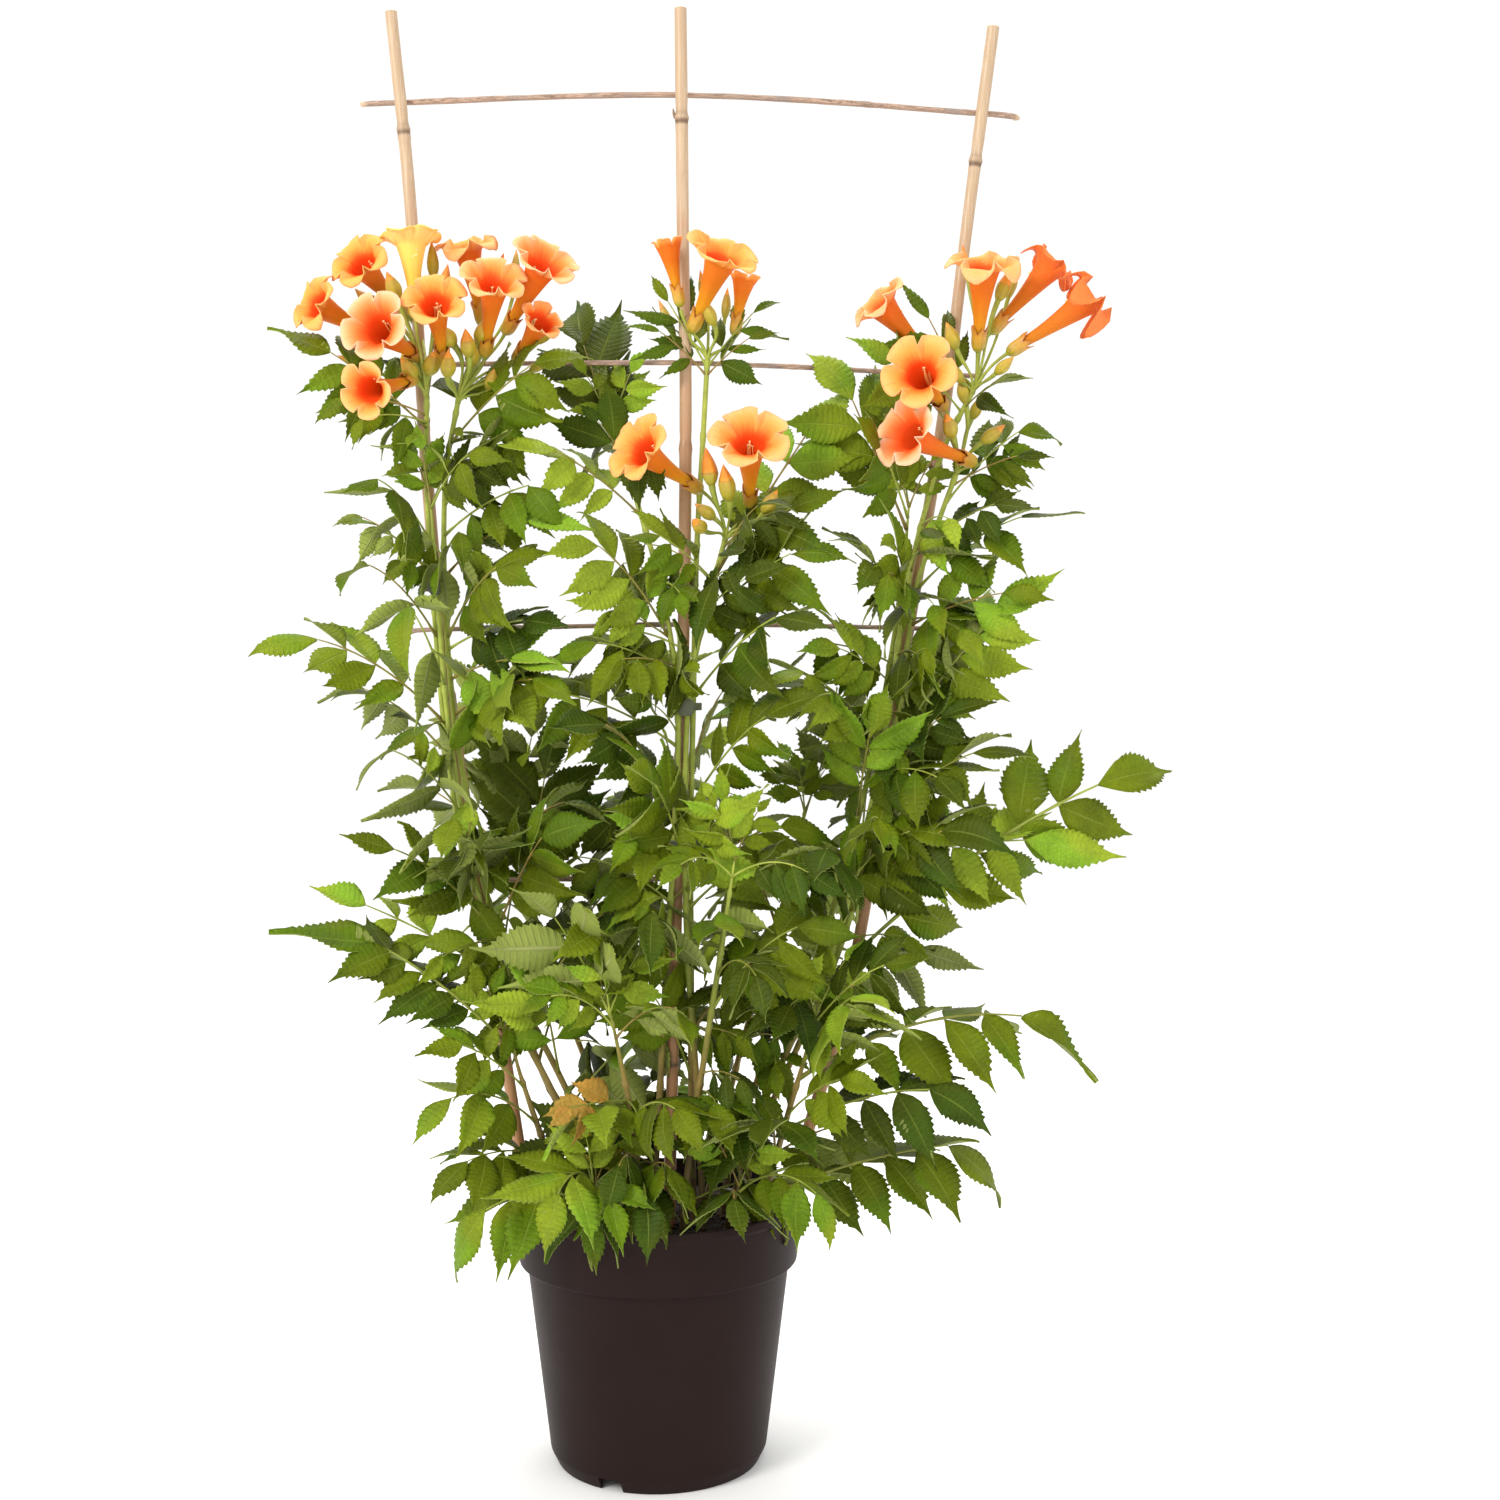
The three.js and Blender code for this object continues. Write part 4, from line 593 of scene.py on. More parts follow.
def smooth_line(points, steps):
    """Evenly spaced points of a smooth curve through every given point."""
    points = np.asarray(points, float)
    ends = np.vstack([2 * points[0] - points[1], points, 2 * points[-1] - points[-2]])
    pieces = []
    for i in range(1, len(ends) - 2):
        t = np.linspace(0, 1, 17)[:-1, None]
        a, b, c, d = ends[i - 1:i + 3]
        pieces.append(0.5 * (2 * b + (c - a) * t + (2 * a - 5 * b + 4 * c - d) * t ** 2
                             + (3 * b - a - 3 * c + d) * t ** 3))
    dense = np.vstack(pieces + [points[-1:]])
    run = run_along(dense)
    even = np.linspace(0, run[-1], steps + 1)
    return np.stack([np.interp(even, run, dense[:, k]) for k in range(3)], axis=1)


def frames_along(line):
    """Two directions square to a line and to each other at each point, with no twist between points."""
    along = np.gradient(line, axis=0)
    along /= np.linalg.norm(along, axis=1)[:, None]
    first = np.zeros_like(along)
    side = np.array((1.0, 0.0, 0.0)) if abs(along[0][0]) < 0.9 else np.array((0.0, 1.0, 0.0))
    for i, direction in enumerate(along):
        side = unit(side - direction * side.dot(direction))
        first[i] = side
    return first, np.cross(along, first)


def round_section(sides):
    angles = around(sides)
    return np.stack([np.cos(angles), np.sin(angles)], axis=1)


def rings_along(centres, radii, first, second, section):
    """A ring of a section's points round each centre, in the plane of two square directions."""
    return centres[:, None] + radii[:, None, None] * (section[None, :, :1] * first[:, None]
                                                      + section[None, :, 1:] * second[:, None])


def add_tube(skin, line, radii, sides, slot, shade, section=None):
    """A closed tube along a line, round unless a section gives its outline."""
    line = np.asarray(line, float)
    radii = np.broadcast_to(np.asarray(radii, float), (len(line),))
    section = round_section(sides) if section is None else np.asarray(section)
    rings = rings_along(line, radii, *frames_along(line), section)
    run = np.broadcast_to(run_along(line)[:, None] * 0.01, (len(line), sides))
    across = np.stack(np.broadcast_arrays(np.arange(sides)[None] / sides, run), axis=-1).reshape(-1, 2)
    add_rings(skin, rings, line[[0, -1]], slot, shade, np.vstack([across, across[[0, -1]]]))


def add_lathe(skin, profile, sides):
    """A closed profile of (radius, height) pairs turned round the upright axis, from axis to axis."""
    profile = np.asarray(profile, float)
    rings = ring_at(profile[1:-1, :1], around(sides), profile[1:-1, 1:])
    add_rings(skin, rings, [(0, 0, profile[0][1]), (0, 0, profile[-1][1])])


def add_block(skin, centre, axes, half, shade, soft):
    """A small block with bevelled edges, given its three directions and half sizes."""
    corner = np.array([(-1, -soft), (-soft, -1), (soft, -1), (1, -soft), (1, soft), (soft, 1), (-soft, 1),
                       (-1, soft)], float)
    levels = ((-1, soft), (-soft, 1), (soft, 1), (1, soft))
    rings = np.array([[(x * size, y * size, level) for x, y in corner] for level, size in levels])

    def placed(local):
        return np.asarray(centre, float) + (local * np.asarray(half, float)) @ np.asarray(axes, float)

    add_rings(skin, placed(rings), placed(np.array([(0, 0, -1), (0, 0, 1.0)])), 0, shade)


# ---------------------------------------------------------------- finishes
def feed(socket, value):
    """Links a node's input to an output, or sets it to a number, a vector or a colour."""
    if isinstance(value, bpy.types.NodeSocket):
        socket.id_data.links.new(value, socket)
    else:
        socket.default_value = (*tuple(value)[:3], 1) if socket.type == "RGBA" else value


def node(tree, kind, inputs=None, **values):
    """One node, with its values set and its inputs fed."""
    made = tree.nodes.new(kind)
    for key, value in values.items():
        setattr(made, key, value)
    for key, value in (inputs or {}).items():
        feed(made.inputs[key], value)
    return made


def tree_of(*values):
    """The node tree of the first socket among some values."""
    return next(value for value in values if isinstance(value, bpy.types.NodeSocket)).id_data


def ramp(value, stops):
    """A colour ramp over (position, colour) stops."""
    made = node(value.id_data, "ShaderNodeValToRGB", {"Fac": value})
    elements = made.color_ramp.elements
    while len(elements) < len(stops):
        elements.new(1.0)
    for element, (position, colour) in zip(elements, stops):
        element.position = position
        element.color = (*tuple(colour)[:3], 1)
    return made.outputs["Color"]


def mix(share, first, second, blend="MIX"):
    """Two colours mixed by a share."""
    made = node(tree_of(share, first, second), "ShaderNodeMix", {0: share, 6: first, 7: second},
                data_type="RGBA", blend_type=blend)
    return made.outputs[2]


def calc(operation, first, second=0.0, clamp=False):
    """One sum on numbers or sockets."""
    made = node(tree_of(first, second), "ShaderNodeMath", {0: first, 1: second}, operation=operation,
                use_clamp=clamp)
    return made.outputs[0]


def times(first, second, clamp=False):
    return calc("MULTIPLY", first, second, clamp)


def plus(first, second):
    return calc("ADD", first, second)


def minus(first, second, clamp=False):
    return calc("SUBTRACT", first, second, clamp)


def step_between(value, low, high):
    """A smooth rise from 0 to 1 between two limits; limits in falling order give a fall."""
    start, end = (0.0, 1.0) if low <= high else (1.0, 0.0)
    limits = {"From Min": min(low, high), "From Max": max(low, high), "To Min": start, "To Max": end}
    made = node(value.id_data, "ShaderNodeMapRange", {"Value": value, **limits},
                interpolation_type="SMOOTHSTEP")
    return made.outputs["Result"]


def place_of(tree):
    return node(tree, "ShaderNodeTexCoord").outputs["Object"]


def shade_of(tree):
    return node(tree, "ShaderNodeAttribute", attribute_name="shade").outputs["Fac"]


def surface_of(tree):
    """The two surface coordinates, across and along."""
    mapped = node(tree, "ShaderNodeUVMap", uv_map="Surface").outputs["UV"]
    split = node(tree, "ShaderNodeSeparateXYZ", {"Vector": mapped})
    return split.outputs["X"], split.outputs["Y"]


def noise(where, scale, detail=2.0, roughness=0.5):
    made = node(where.id_data, "ShaderNodeTexNoise", {"Vector": where, "Scale": scale, "Detail": detail,
                                                      "Roughness": roughness})
    return made.outputs["Fac"]


def mottling(group, colour, broad_size, fine_size, depth):
    """A colour varied in the object's own space by a broad and a fine noise."""
    where = place_of(group)
    broad, fine = noise(where, broad_size, 3.0), noise(where, fine_size)
    swing = times(minus(plus(times(broad, 1.3), times(fine, 0.7)), 1.0), depth)
    varied = node(group, "ShaderNodeVectorMath", {0: colour, "Scale": plus(times(swing, 2.0), 1.0)},
                  operation="SCALE")
    return varied.outputs["Vector"], fine


def bamboo_fibres(group, stretch):
    """Streaks that run along a cane or rail, and broad patches."""
    where = place_of(group)
    drawn = node(group, "ShaderNodeVectorMath", {0: where, 1: stretch}, operation="MULTIPLY")
    return noise(drawn.outputs["Vector"], 1.0, 4.0, 0.65), noise(where, 34.0, 3.0)


def leaf_greens(group, shade, dark, middle, young):
    """The leaf's colour from its shade: dark, middle and young green, then yellow, orange and brown."""
    colour = dark
    for low, high, following in ((0.18, 0.46, middle), (0.46, 0.72, young), (0.76, 0.85, (0.55, 0.50, 0.045)),
                                 (0.87, 0.93, (0.56, 0.29, 0.045)), (0.95, 1.0, (0.26, 0.12, 0.04))):
        colour = mix(step_between(shade, low, high), colour, following)
    return (colour,)


def leaf_veins(group, midrib_width, side_width):
    """Veins of a toothed leaflet: a midrib, side veins that end in the teeth and a fine net between them."""
    across, along = surface_of(group)
    side = calc("ABSOLUTE", minus(times(across, 2.0), 1.0))
    midrib = minus(1.0, calc("DIVIDE", side, midrib_width), clamp=True)
    nearest = calc("ABSOLUTE", minus(along, calc("ROUND", along)))
    branch = minus(1.0, calc("DIVIDE", nearest, times(side_width, minus(1.25, side))), clamp=True)
    veins = calc("MAXIMUM", calc("POWER", midrib, 0.6), times(branch, 0.7))
    net = node(group, "ShaderNodeTexVoronoi", {"Vector": place_of(group), "Scale": 520.0},
               feature="DISTANCE_TO_EDGE")
    puff = times(times(nearest, 2.0), calc("MINIMUM", side, 1.0))
    return veins, puff, times(net.outputs["Distance"], 3.0, clamp=True)


def petal_streaks(group, lines, wander):
    """Fine lines along a petal, and its length coordinate made to wander with them."""
    across, along = surface_of(group)
    drawn = node(group, "ShaderNodeCombineXYZ", {"X": times(across, lines), "Y": times(along, 2.2)})
    streaks = noise(drawn.outputs["Vector"], 1.0, 3.0)
    return streaks, plus(along, times(minus(streaks, 0.5), wander))


# Effects that several materials use: name of the group, its inputs and its outputs.
EFFECTS = {
    mottling: ("Mottling", {"Colour": "Color", "Broad size": "Float", "Fine size": "Float", "Depth": "Float"},
               {"Colour": "Color", "Fine": "Float"}),
    bamboo_fibres: ("Bamboo fibres", {"Stretch": "Vector"}, {"Streaks": "Float", "Patches": "Float"}),
    leaf_greens: ("Leaf greens", {"Shade": "Float", "Dark": "Color", "Middle": "Color", "Young": "Color"},
                  {"Colour": "Color"}),
    leaf_veins: ("Leaf veins", {"Midrib": "Float", "Side vein": "Float"},
                 {"Veins": "Float", "Puff": "Float", "Net": "Float"}),
    petal_streaks: ("Petal streaks", {"Lines": "Float", "Wander": "Float"},
                    {"Streaks": "Float", "Along": "Float"}),
}


def effect(tree, build, *values):
    """Puts an effect's node group in a tree, made on first use, and gives its outputs."""
    name, inputs, outputs = EFFECTS[build]
    group = bpy.data.node_groups.get(name)
    if group is None:
        group = bpy.data.node_groups.new(name, "ShaderNodeTree")
        for way, sockets in (("INPUT", inputs), ("OUTPUT", outputs)):
            for label, kind in sockets.items():
                group.interface.new_socket(name=label, in_out=way, socket_type="NodeSocket" + kind)
        start, end = group.nodes.new("NodeGroupInput"), group.nodes.new("NodeGroupOutput")
        for label, result in zip(outputs, build(group, *(start.outputs[label] for label in inputs))):
            feed(end.inputs[label], result)
    made = node(tree, "ShaderNodeGroup", dict(zip(inputs, values)), node_tree=group)
    return [made.outputs[label] for label in outputs]


def material_of(look):
    """The material of a look, made on first use.

    A look gives the shader's values and may add a height, its strength and its depth.
    """
    name = look.__name__.capitalize()
    material = bpy.data.materials.get(name)
    if material is None:
        material = bpy.data.materials.new(name)
        material.use_nodes = True
        tree = material.node_tree
        tree.nodes.clear()
        shader = tree.nodes.new("ShaderNodeBsdfPrincipled")
        node(tree, "ShaderNodeOutputMaterial", {"Surface": shader.outputs["BSDF"]})
        values, *relief = look(tree)
        if relief:
            bent = node(tree, "ShaderNodeBump", dict(zip(("Height", "Strength", "Distance"), relief)))
            values["Normal"] = bent.outputs["Normal"]
        for key, value in values.items():
            feed(shader.inputs[key], value)
    return material


def pot_plastic(tree):
    colour, fine = effect(tree, mottling, settings("vine_pot").colour, 9.0, 1400.0, 0.22)
    rough = plus(times(noise(place_of(tree), 14.0, 4.0), 0.16), 0.40)
    return {"Base Color": colour, "Roughness": rough, "Specular IOR Level": 0.07}, fine, 0.12, 0.0004


def potting_mix(tree):
    base = settings("vine_pot").soil
    toned = ramp(shade_of(tree), [(0.0, [0.35 * c for c in base]), (0.5, base), (0.8, (0.085, 0.045, 0.024)),
                                  (1.0, (0.17, 0.11, 0.065))])
    colour, fine = effect(tree, mottling, toned, 120.0, 1500.0, 0.5)
    return {"Base Color": colour, "Roughness": 0.93}, fine, 0.6, 0.001


def cane_skin(tree):
    """Shade 0 is a pale cut edge, 0.5 the skin and 1 a node's dark ring, which is also painted shade inside
    the hollow top.
    """
    trellis = settings("vine_trellis")
    streaks, patches = effect(tree, bamboo_fibres, (620, 620, 14))
    height = node(tree, "ShaderNodeSeparateXYZ", {"Vector": place_of(tree)}).outputs["Z"]
    halfway = [0.55 * a + 0.45 * b for a, b in zip(trellis.tan, trellis.straw)]
    aged = ramp(plus(height, times(minus(patches, 0.5), 0.5)),
                [(0.35, trellis.tan), (0.86, halfway), (1.06, trellis.straw)])
    stained = mix(times(step_between(patches, 0.66, 0.76), 0.45), aged, (0.22, 0.10, 0.045))
    grained = mix(times(step_between(streaks, 0.72, 0.44), 0.42), stained, (0.30, 0.17, 0.075))
    shade = shade_of(tree)
    # The node ring's dark brown, also used as painted shade inside the hollow top of the cane.
    ring_and_bore_shade = mix(step_between(shade, 0.55, 0.95), grained, (0.15, 0.085, 0.045))
    colour = mix(step_between(shade, 0.45, 0.10), ring_and_bore_shade, (0.76, 0.64, 0.46))
    return {"Base Color": colour, "Roughness": plus(times(patches, 0.3), 0.30)}, streaks, 0.16, 0.0006


def split_bamboo(tree):
    """Shade 0.5 is the weathered rail and 1 its fresh ends."""
    base = settings("vine_trellis").rail
    streaks, patches = effect(tree, bamboo_fibres, (26, 900, 900))
    light = [min(1, 1.45 * c + 0.03) for c in base]
    colour = ramp(streaks, [(0.30, [0.30 * c for c in base]), (0.52, base), (0.72, light)])
    greyed = mix(step_between(patches, 0.45, 0.72), colour, (0.27, 0.21, 0.18))
    tipped = mix(step_between(shade_of(tree), 0.6, 1.0), greyed, (0.58, 0.44, 0.29))
    return {"Base Color": tipped, "Roughness": 0.78}, streaks, 0.5, 0.001


def tie_plastic(tree):
    colour, fine = effect(tree, mottling, settings("vine_trellis").tie, 160.0, 1600.0, 0.22)
    return {"Base Color": colour, "Roughness": 0.5}, fine, 0.1, 0.0004


def leaf_green(tree):
    foliage = settings("vine_foliage")
    return effect(tree, leaf_greens, shade_of(tree), foliage.dark, foliage.middle, foliage.young)[0]


def leaf_upper_side(tree):
    veins, puff, net = effect(tree, leaf_veins, 0.07, 0.08)
    cooler = times(step_between(noise(place_of(tree), 17.0, 1.0), 0.45, 0.65), 0.62)
    green = mix(cooler, leaf_green(tree), (0.60, 1.0, 0.9), "MULTIPLY")
    spotted, fine = effect(tree, mottling, green, 30.0, 500.0, 0.50)
    netted = mix(times(minus(1.0, net), 0.12), spotted, (0.02, 0.035, 0.003))
    lit = mix(times(veins, 0.27), netted, (0.30, 0.37, 0.06))
    height = plus(minus(times(puff, 0.7), times(veins, 0.6)), times(net, 0.12))
    values = {"Base Color": lit, "Roughness": plus(times(fine, 0.2), 0.30), "Specular IOR Level": 0.08}
    return values, height, 0.60, 0.0014


def leaf_underside(tree):
    veins, puff, net = effect(tree, leaf_veins, 0.11, 0.11)
    pale = mix(0.62, leaf_green(tree), settings("vine_foliage").under)
    spotted = effect(tree, mottling, pale, 45.0, 700.0, 0.22)[0]
    lit = mix(times(veins, 0.5), spotted, (0.40, 0.40, 0.18))
    height = minus(minus(veins, times(puff, 0.6)), times(net, 0.1))
    return {"Base Color": lit, "Roughness": 0.62, "Specular IOR Level": 0.15}, height, 0.75, 0.0014


def vine_stalk(tree):
    """Shade 0 is old bark, 0.5 reddish green and 1 bright yellow-green."""
    tone = ramp(shade_of(tree), [(0.0, (0.15, 0.095, 0.045)), (0.3, (0.22, 0.16, 0.055)),
                                 (0.5, (0.28, 0.20, 0.05)), (0.7, (0.22, 0.25, 0.035)),
                                 (1.0, (0.36, 0.42, 0.065))])
    colour, fine = effect(tree, mottling, tone, 90.0, 900.0, 0.3)
    return {"Base Color": colour, "Roughness": 0.5, "Specular IOR Level": 0.3}, fine, 0.2, 0.0005


def petal(tree, lines, wander, colours, line_colour):
    """A petal's face: its colours along its length, then redder, deeper or paler as its shade says."""
    streaks, along = effect(tree, petal_streaks, lines, wander)
    blush = shade_of(tree)
    red = ramp(along, [(0.0, (0.62, 0.17, 0.01)), (0.5, (0.72, 0.11, 0.012)), (0.66, (0.84, 0.08, 0.014)),
                       (0.76, (0.88, 0.19, 0.06)), (0.88, (0.92, 0.38, 0.20)), (1.0, (0.96, 0.60, 0.44))])
    deep = ramp(along, [(0.0, (0.56, 0.19, 0.01)), (0.5, (0.68, 0.15, 0.015)), (0.75, (0.76, 0.16, 0.03)),
                        (1.0, (0.78, 0.20, 0.05))])
    pale = ramp(along, [(0.0, (0.88, 0.56, 0.05)), (0.55, (0.96, 0.62, 0.14)), (0.8, (1.0, 0.66, 0.22)),
                        (1.0, (1.0, 0.60, 0.16))])
    dyed = mix(times(blush, 0.8), ramp(along, colours), red)
    flushed = mix(step_between(blush, 0.95, 1.0), dyed, deep)
    faded = mix(step_between(blush, 0.09, 0.02), flushed, pale)
    lined = mix(times(step_between(streaks, 0.52, 0.74), 0.34), faded, line_colour)
    values = {"Base Color": lined, "Roughness": 0.55, "Specular IOR Level": 0.12, "Subsurface Weight": 0.2,
              "Subsurface Radius": (1.0, 0.35, 0.10), "Subsurface Scale": 0.003}
    return values, streaks, 0.2, 0.0008


def petal_inside(tree):
    flower = settings("vine_flowers")
    colours = [(0.0, (0.76, 0.24, 0.01)), (0.32, (0.80, 0.16, 0.008)), (0.55, flower.throat),
               (0.61, (0.88, 0.10, 0.010)), (0.67, (0.92, 0.21, 0.028)), (0.75, flower.rim),
               (0.90, (0.93, 0.43, 0.095)), (1.0, (0.93, 0.38, 0.085))]
    return petal(tree, 70.0, 0.09, colours, (0.78, 0.13, 0.012))


def petal_outside(tree):
    flower = settings("vine_flowers")
    colours = [(0.0, (0.58, 0.34, 0.012)), (0.18, flower.tube), (0.42, (0.62, 0.165, 0.008)),
               (0.66, (0.68, 0.18, 0.013)), (0.84, flower.rim), (1.0, (0.93, 0.40, 0.09))]
    return petal(tree, 90.0, 0.16, colours, (0.50, 0.10, 0.012))


def stamen(tree):
    """Shade 0 is a pale filament and 1 a yellow anther."""
    colour = ramp(shade_of(tree), [(0.0, (0.92, 0.62, 0.20)), (1.0, (0.95, 0.80, 0.40))])
    return ({"Base Color": colour, "Roughness": 0.5},)


def calyx(tree):
    """Shade 0 is the green foot, 1 the ripe tips of the teeth."""
    tone = ramp(shade_of(tree), [(0.0, (0.28, 0.32, 0.03)), (0.35, settings("vine_flowers").calyx),
                                 (0.75, (0.58, 0.26, 0.022)), (1.0, (0.46, 0.14, 0.03))])
    colour, fine = effect(tree, mottling, tone, 160.0, 1400.0, 0.28)
    return {"Base Color": colour, "Roughness": 0.42}, fine, 0.2, 0.0005


def bud(tree):
    """Shade 0 is the green calyx and 1 the closed petals."""
    tone = ramp(shade_of(tree), [(0.0, (0.30, 0.33, 0.03)), (0.2, (0.46, 0.36, 0.03)),
                                 (0.4, (0.50, 0.24, 0.03)), (0.6, (0.74, 0.34, 0.02)),
                                 (1.0, (0.72, 0.20, 0.02))])
    colour, fine = effect(tree, mottling, tone, 160.0, 1400.0, 0.25)
    return {"Base Color": colour, "Roughness": 0.45}, fine, 0.2, 0.0005


def pale_floor(tree):
    colour = ramp(noise(place_of(tree), 3.0), [(0.3, (0.96, 0.96, 0.96)), (0.7, (0.97, 0.97, 0.97))])
    return ({"Base Color": colour, "Roughness": 0.9, "Specular IOR Level": 0.1},)


# ---------------------------------------------------------------- pot and potting mix
def rounded(profile, radius):
    """A profile with each sharp corner turned into a short arc."""
    profile = [np.asarray(p, float) for p in profile]
    result = [profile[0]]
    for before, here, after in zip(profile, profile[1:], profile[2:]):
        reach = min(radius, 0.45 * np.linalg.norm(before - here), 0.45 * np.linalg.norm(after - here))
        start = here + unit(before - here) * reach
        end = here + unit(after - here) * reach
        for t in np.linspace(0, 1, 4):
            result.append((1 - t) ** 2 * start + 2 * t * (1 - t) * here + t ** 2 * end)
    result.append(profile[-1])
    return result


def box_skin(half, centre, turn):
    """A plain box turned about the upright axis, for cutting."""
    corners = np.array([(x, y, z) for z in (-1, 1) for x, y in ((-1, -1), (1, -1), (1, 1), (-1, 1))], float)
    corners = corners * half + centre
    c, s = math.cos(turn), math.sin(turn)
    corners = corners @ np.array([(c, s, 0), (-s, c, 0), (0, 0, 1)])
    faces = [(3, 2, 1, 0), (4, 5, 6, 7), (0, 1, 5, 4), (1, 2, 6, 5), (2, 3, 7, 6), (3, 0, 4, 7)]
    skin = Skin()
    skin.add(corners, faces)
    return skin


def cut_away(obj, cutters):
    """Takes the cutters' solids out of an object and removes the cutters."""
    for cutter in cutters:
        modifier = obj.modifiers.new("Cut", "BOOLEAN")
        modifier.operation = "DIFFERENCE"
        modifier.object = cutter
        modifier.solver = "EXACT"
    graph = bpy.context.evaluated_depsgraph_get()
    cut = bpy.data.meshes.new_from_object(obj.evaluated_get(graph))
    obj.modifiers.clear()
    obj.data = cut
    for cutter in cutters:
        bpy.data.objects.remove(cutter)


def build_pot():
    skin = Skin()
    add_lathe(skin, rounded(POT_PROFILE, 1.6), POT_SIDES)
    pot = make_object("nursery_pot", skin, [pot_plastic])
    cutters = []
    for angle in NOTCH_ANGLES:
        for half, centre in NOTCH_CUTS:
            cutters.append(make_object("cutter", box_skin(half, centre, math.radians(angle)), []))
    cut_away(pot, cutters)
    smooth_faces(pot.data, 32)
    place(pot, "pot")


def soil_height(reach):
    """Height of the slightly domed potting mix at a distance from the axis."""
    return SOIL_TOP + SOIL_CROWN * (1 - (reach / SOIL_RADIUS) ** 2)


def build_soil():
    draw = random.Random(11)
    rows, columns = 40, 120
    radii = np.linspace(0, 1, rows + 1)[1:] ** 0.8 * (SOIL_RADIUS - 0.4)
    angles = around(columns)
    x = radii[:, None] * np.cos(angles)
    y = radii[:, None] * np.sin(angles)
    lumps = np.zeros_like(x)
    for size, height in SOIL_WAVES:
        for _ in range(5):
            turn = draw.uniform(0, math.pi)
            phase = draw.uniform(0, FULL_TURN)
            wave = (x * math.cos(turn) + y * math.sin(turn)) * FULL_TURN / size
            lumps += height * 0.35 * np.sin(wave + phase)
    surface = np.stack([x, y, soil_height(radii[:, None]) + lumps], axis=-1)[::-1]
    rings = np.concatenate([[ring_at(reach, angles, height) for reach, height in SOIL_PROFILE], surface])
    skin = Skin()
    shades = 0.35 + 0.1 * np.random.default_rng(5).random(rings[..., 0].size + 2)
    add_rings(skin, rings, [(0, 0, SOIL_PROFILE[0][1]), (0, 0, SOIL_TOP + SOIL_CROWN)], 0, shades)
    for _ in range(settings("vine_pot").chips):
        reach = 112 * math.sqrt(draw.random())
        turn = draw.uniform(0, FULL_TURN)
        size = draw.uniform(1.6, 5.2)
        half = (size, size * draw.uniform(0.35, 0.8), size * draw.uniform(0.15, 0.4))
        tilt = unit(np.array([either_way(draw, 0.5), either_way(draw, 0.5), 1.0]))
        first = unit(np.cross(tilt, (math.cos(turn), math.sin(turn), 0)))
        axes = np.array([first, np.cross(tilt, first), tilt])
        height = soil_height(reach) + draw.uniform(-0.5, 1.6)
        centre = (reach * math.cos(turn + 1), reach * math.sin(turn + 1), height)
        add_block(skin, centre, axes, half, draw.choice(CHIP_SHADES), 0.7)
    add_piece("potting_mix_top", skin, [potting_mix], "soil", sharp=38)


# ---------------------------------------------------------------- trellis
def line_at(points, height):
    """The point of a rising line of points at a height."""
    points = np.asarray(points, float)
    k = int(np.clip(np.searchsorted(points[:, 2], height), 1, len(points) - 1))
    share = (height - points[k - 1][2]) / (points[k][2] - points[k - 1][2])
    return points[k - 1] + share * (points[k] - points[k - 1])


def build_canes():
    proud = settings("vine_trellis").ring_height / MM
    for side, path in CANES.items():
        draw = random.Random("cane" + side)
        line = smooth_line(path, 300)
        radii = np.full(len(line), CANE_RADIUS)
        shades = np.full(len(line), 0.5)
        for ring in CANE_RINGS[side]:
            gap = line[:, 2] - ring
            radii += proud * bump(gap, 2.2) + 0.4 * proud * bump(gap + 6.5, 1.4)
            radii -= 0.35 * bump(gap - 7, 6.0)
            shades += 0.5 * bump(gap + 3.4, 1.3) + 0.2 * bump(gap - 3, 5.0)
        sway = draw.uniform(0, 6)
        radii = radii * (0.975 + 0.02 * np.sin(line[:, 2] / 47 + sway))
        # The hollow top: a short bore closed at its foot, given the ring's dark shade 1.0 as painted shade of
        # the deep hole.
        inside = [line[-1] + (line[-2] - line[-1]) * k for k in (0, 4, 9)]
        whole = np.vstack([line, inside[:1], inside])
        widths = np.concatenate([radii, [radii[-1] - 0.5], [CANE_BORE] * 3])
        whole[-4] = line[-1] + (line[-1] - line[-2]) * 0.14
        shades = np.clip(np.concatenate([shades, [0.05, 0.2, 1.0, 1.0]]), 0, 1)
        frames = [np.vstack([side_ways, np.repeat(side_ways[-1:], 4, axis=0)])
                  for side_ways in frames_along(line)]
        skin = Skin()
        rings = rings_along(whole, widths, *frames, round_section(CANE_SIDES))
        add_rings(skin, rings, whole[[0, -1]], 0, shades)
        if side != "right":
            aside = -CANE_RADIUS if side == "middle" else 4.4
            stub = line_at(line, CANE_RINGS[side][0]) + np.array((aside, -1, 0))
            add_tube(skin, [stub, stub + (-1.2, 0, 3), stub + (-1.8, 0, 7)], [1.6, 1.2, 0.5], 8, 0, 0.85)
        add_piece("bamboo_" + side, skin, [cane_skin], "cane_" + side, sharp=40)


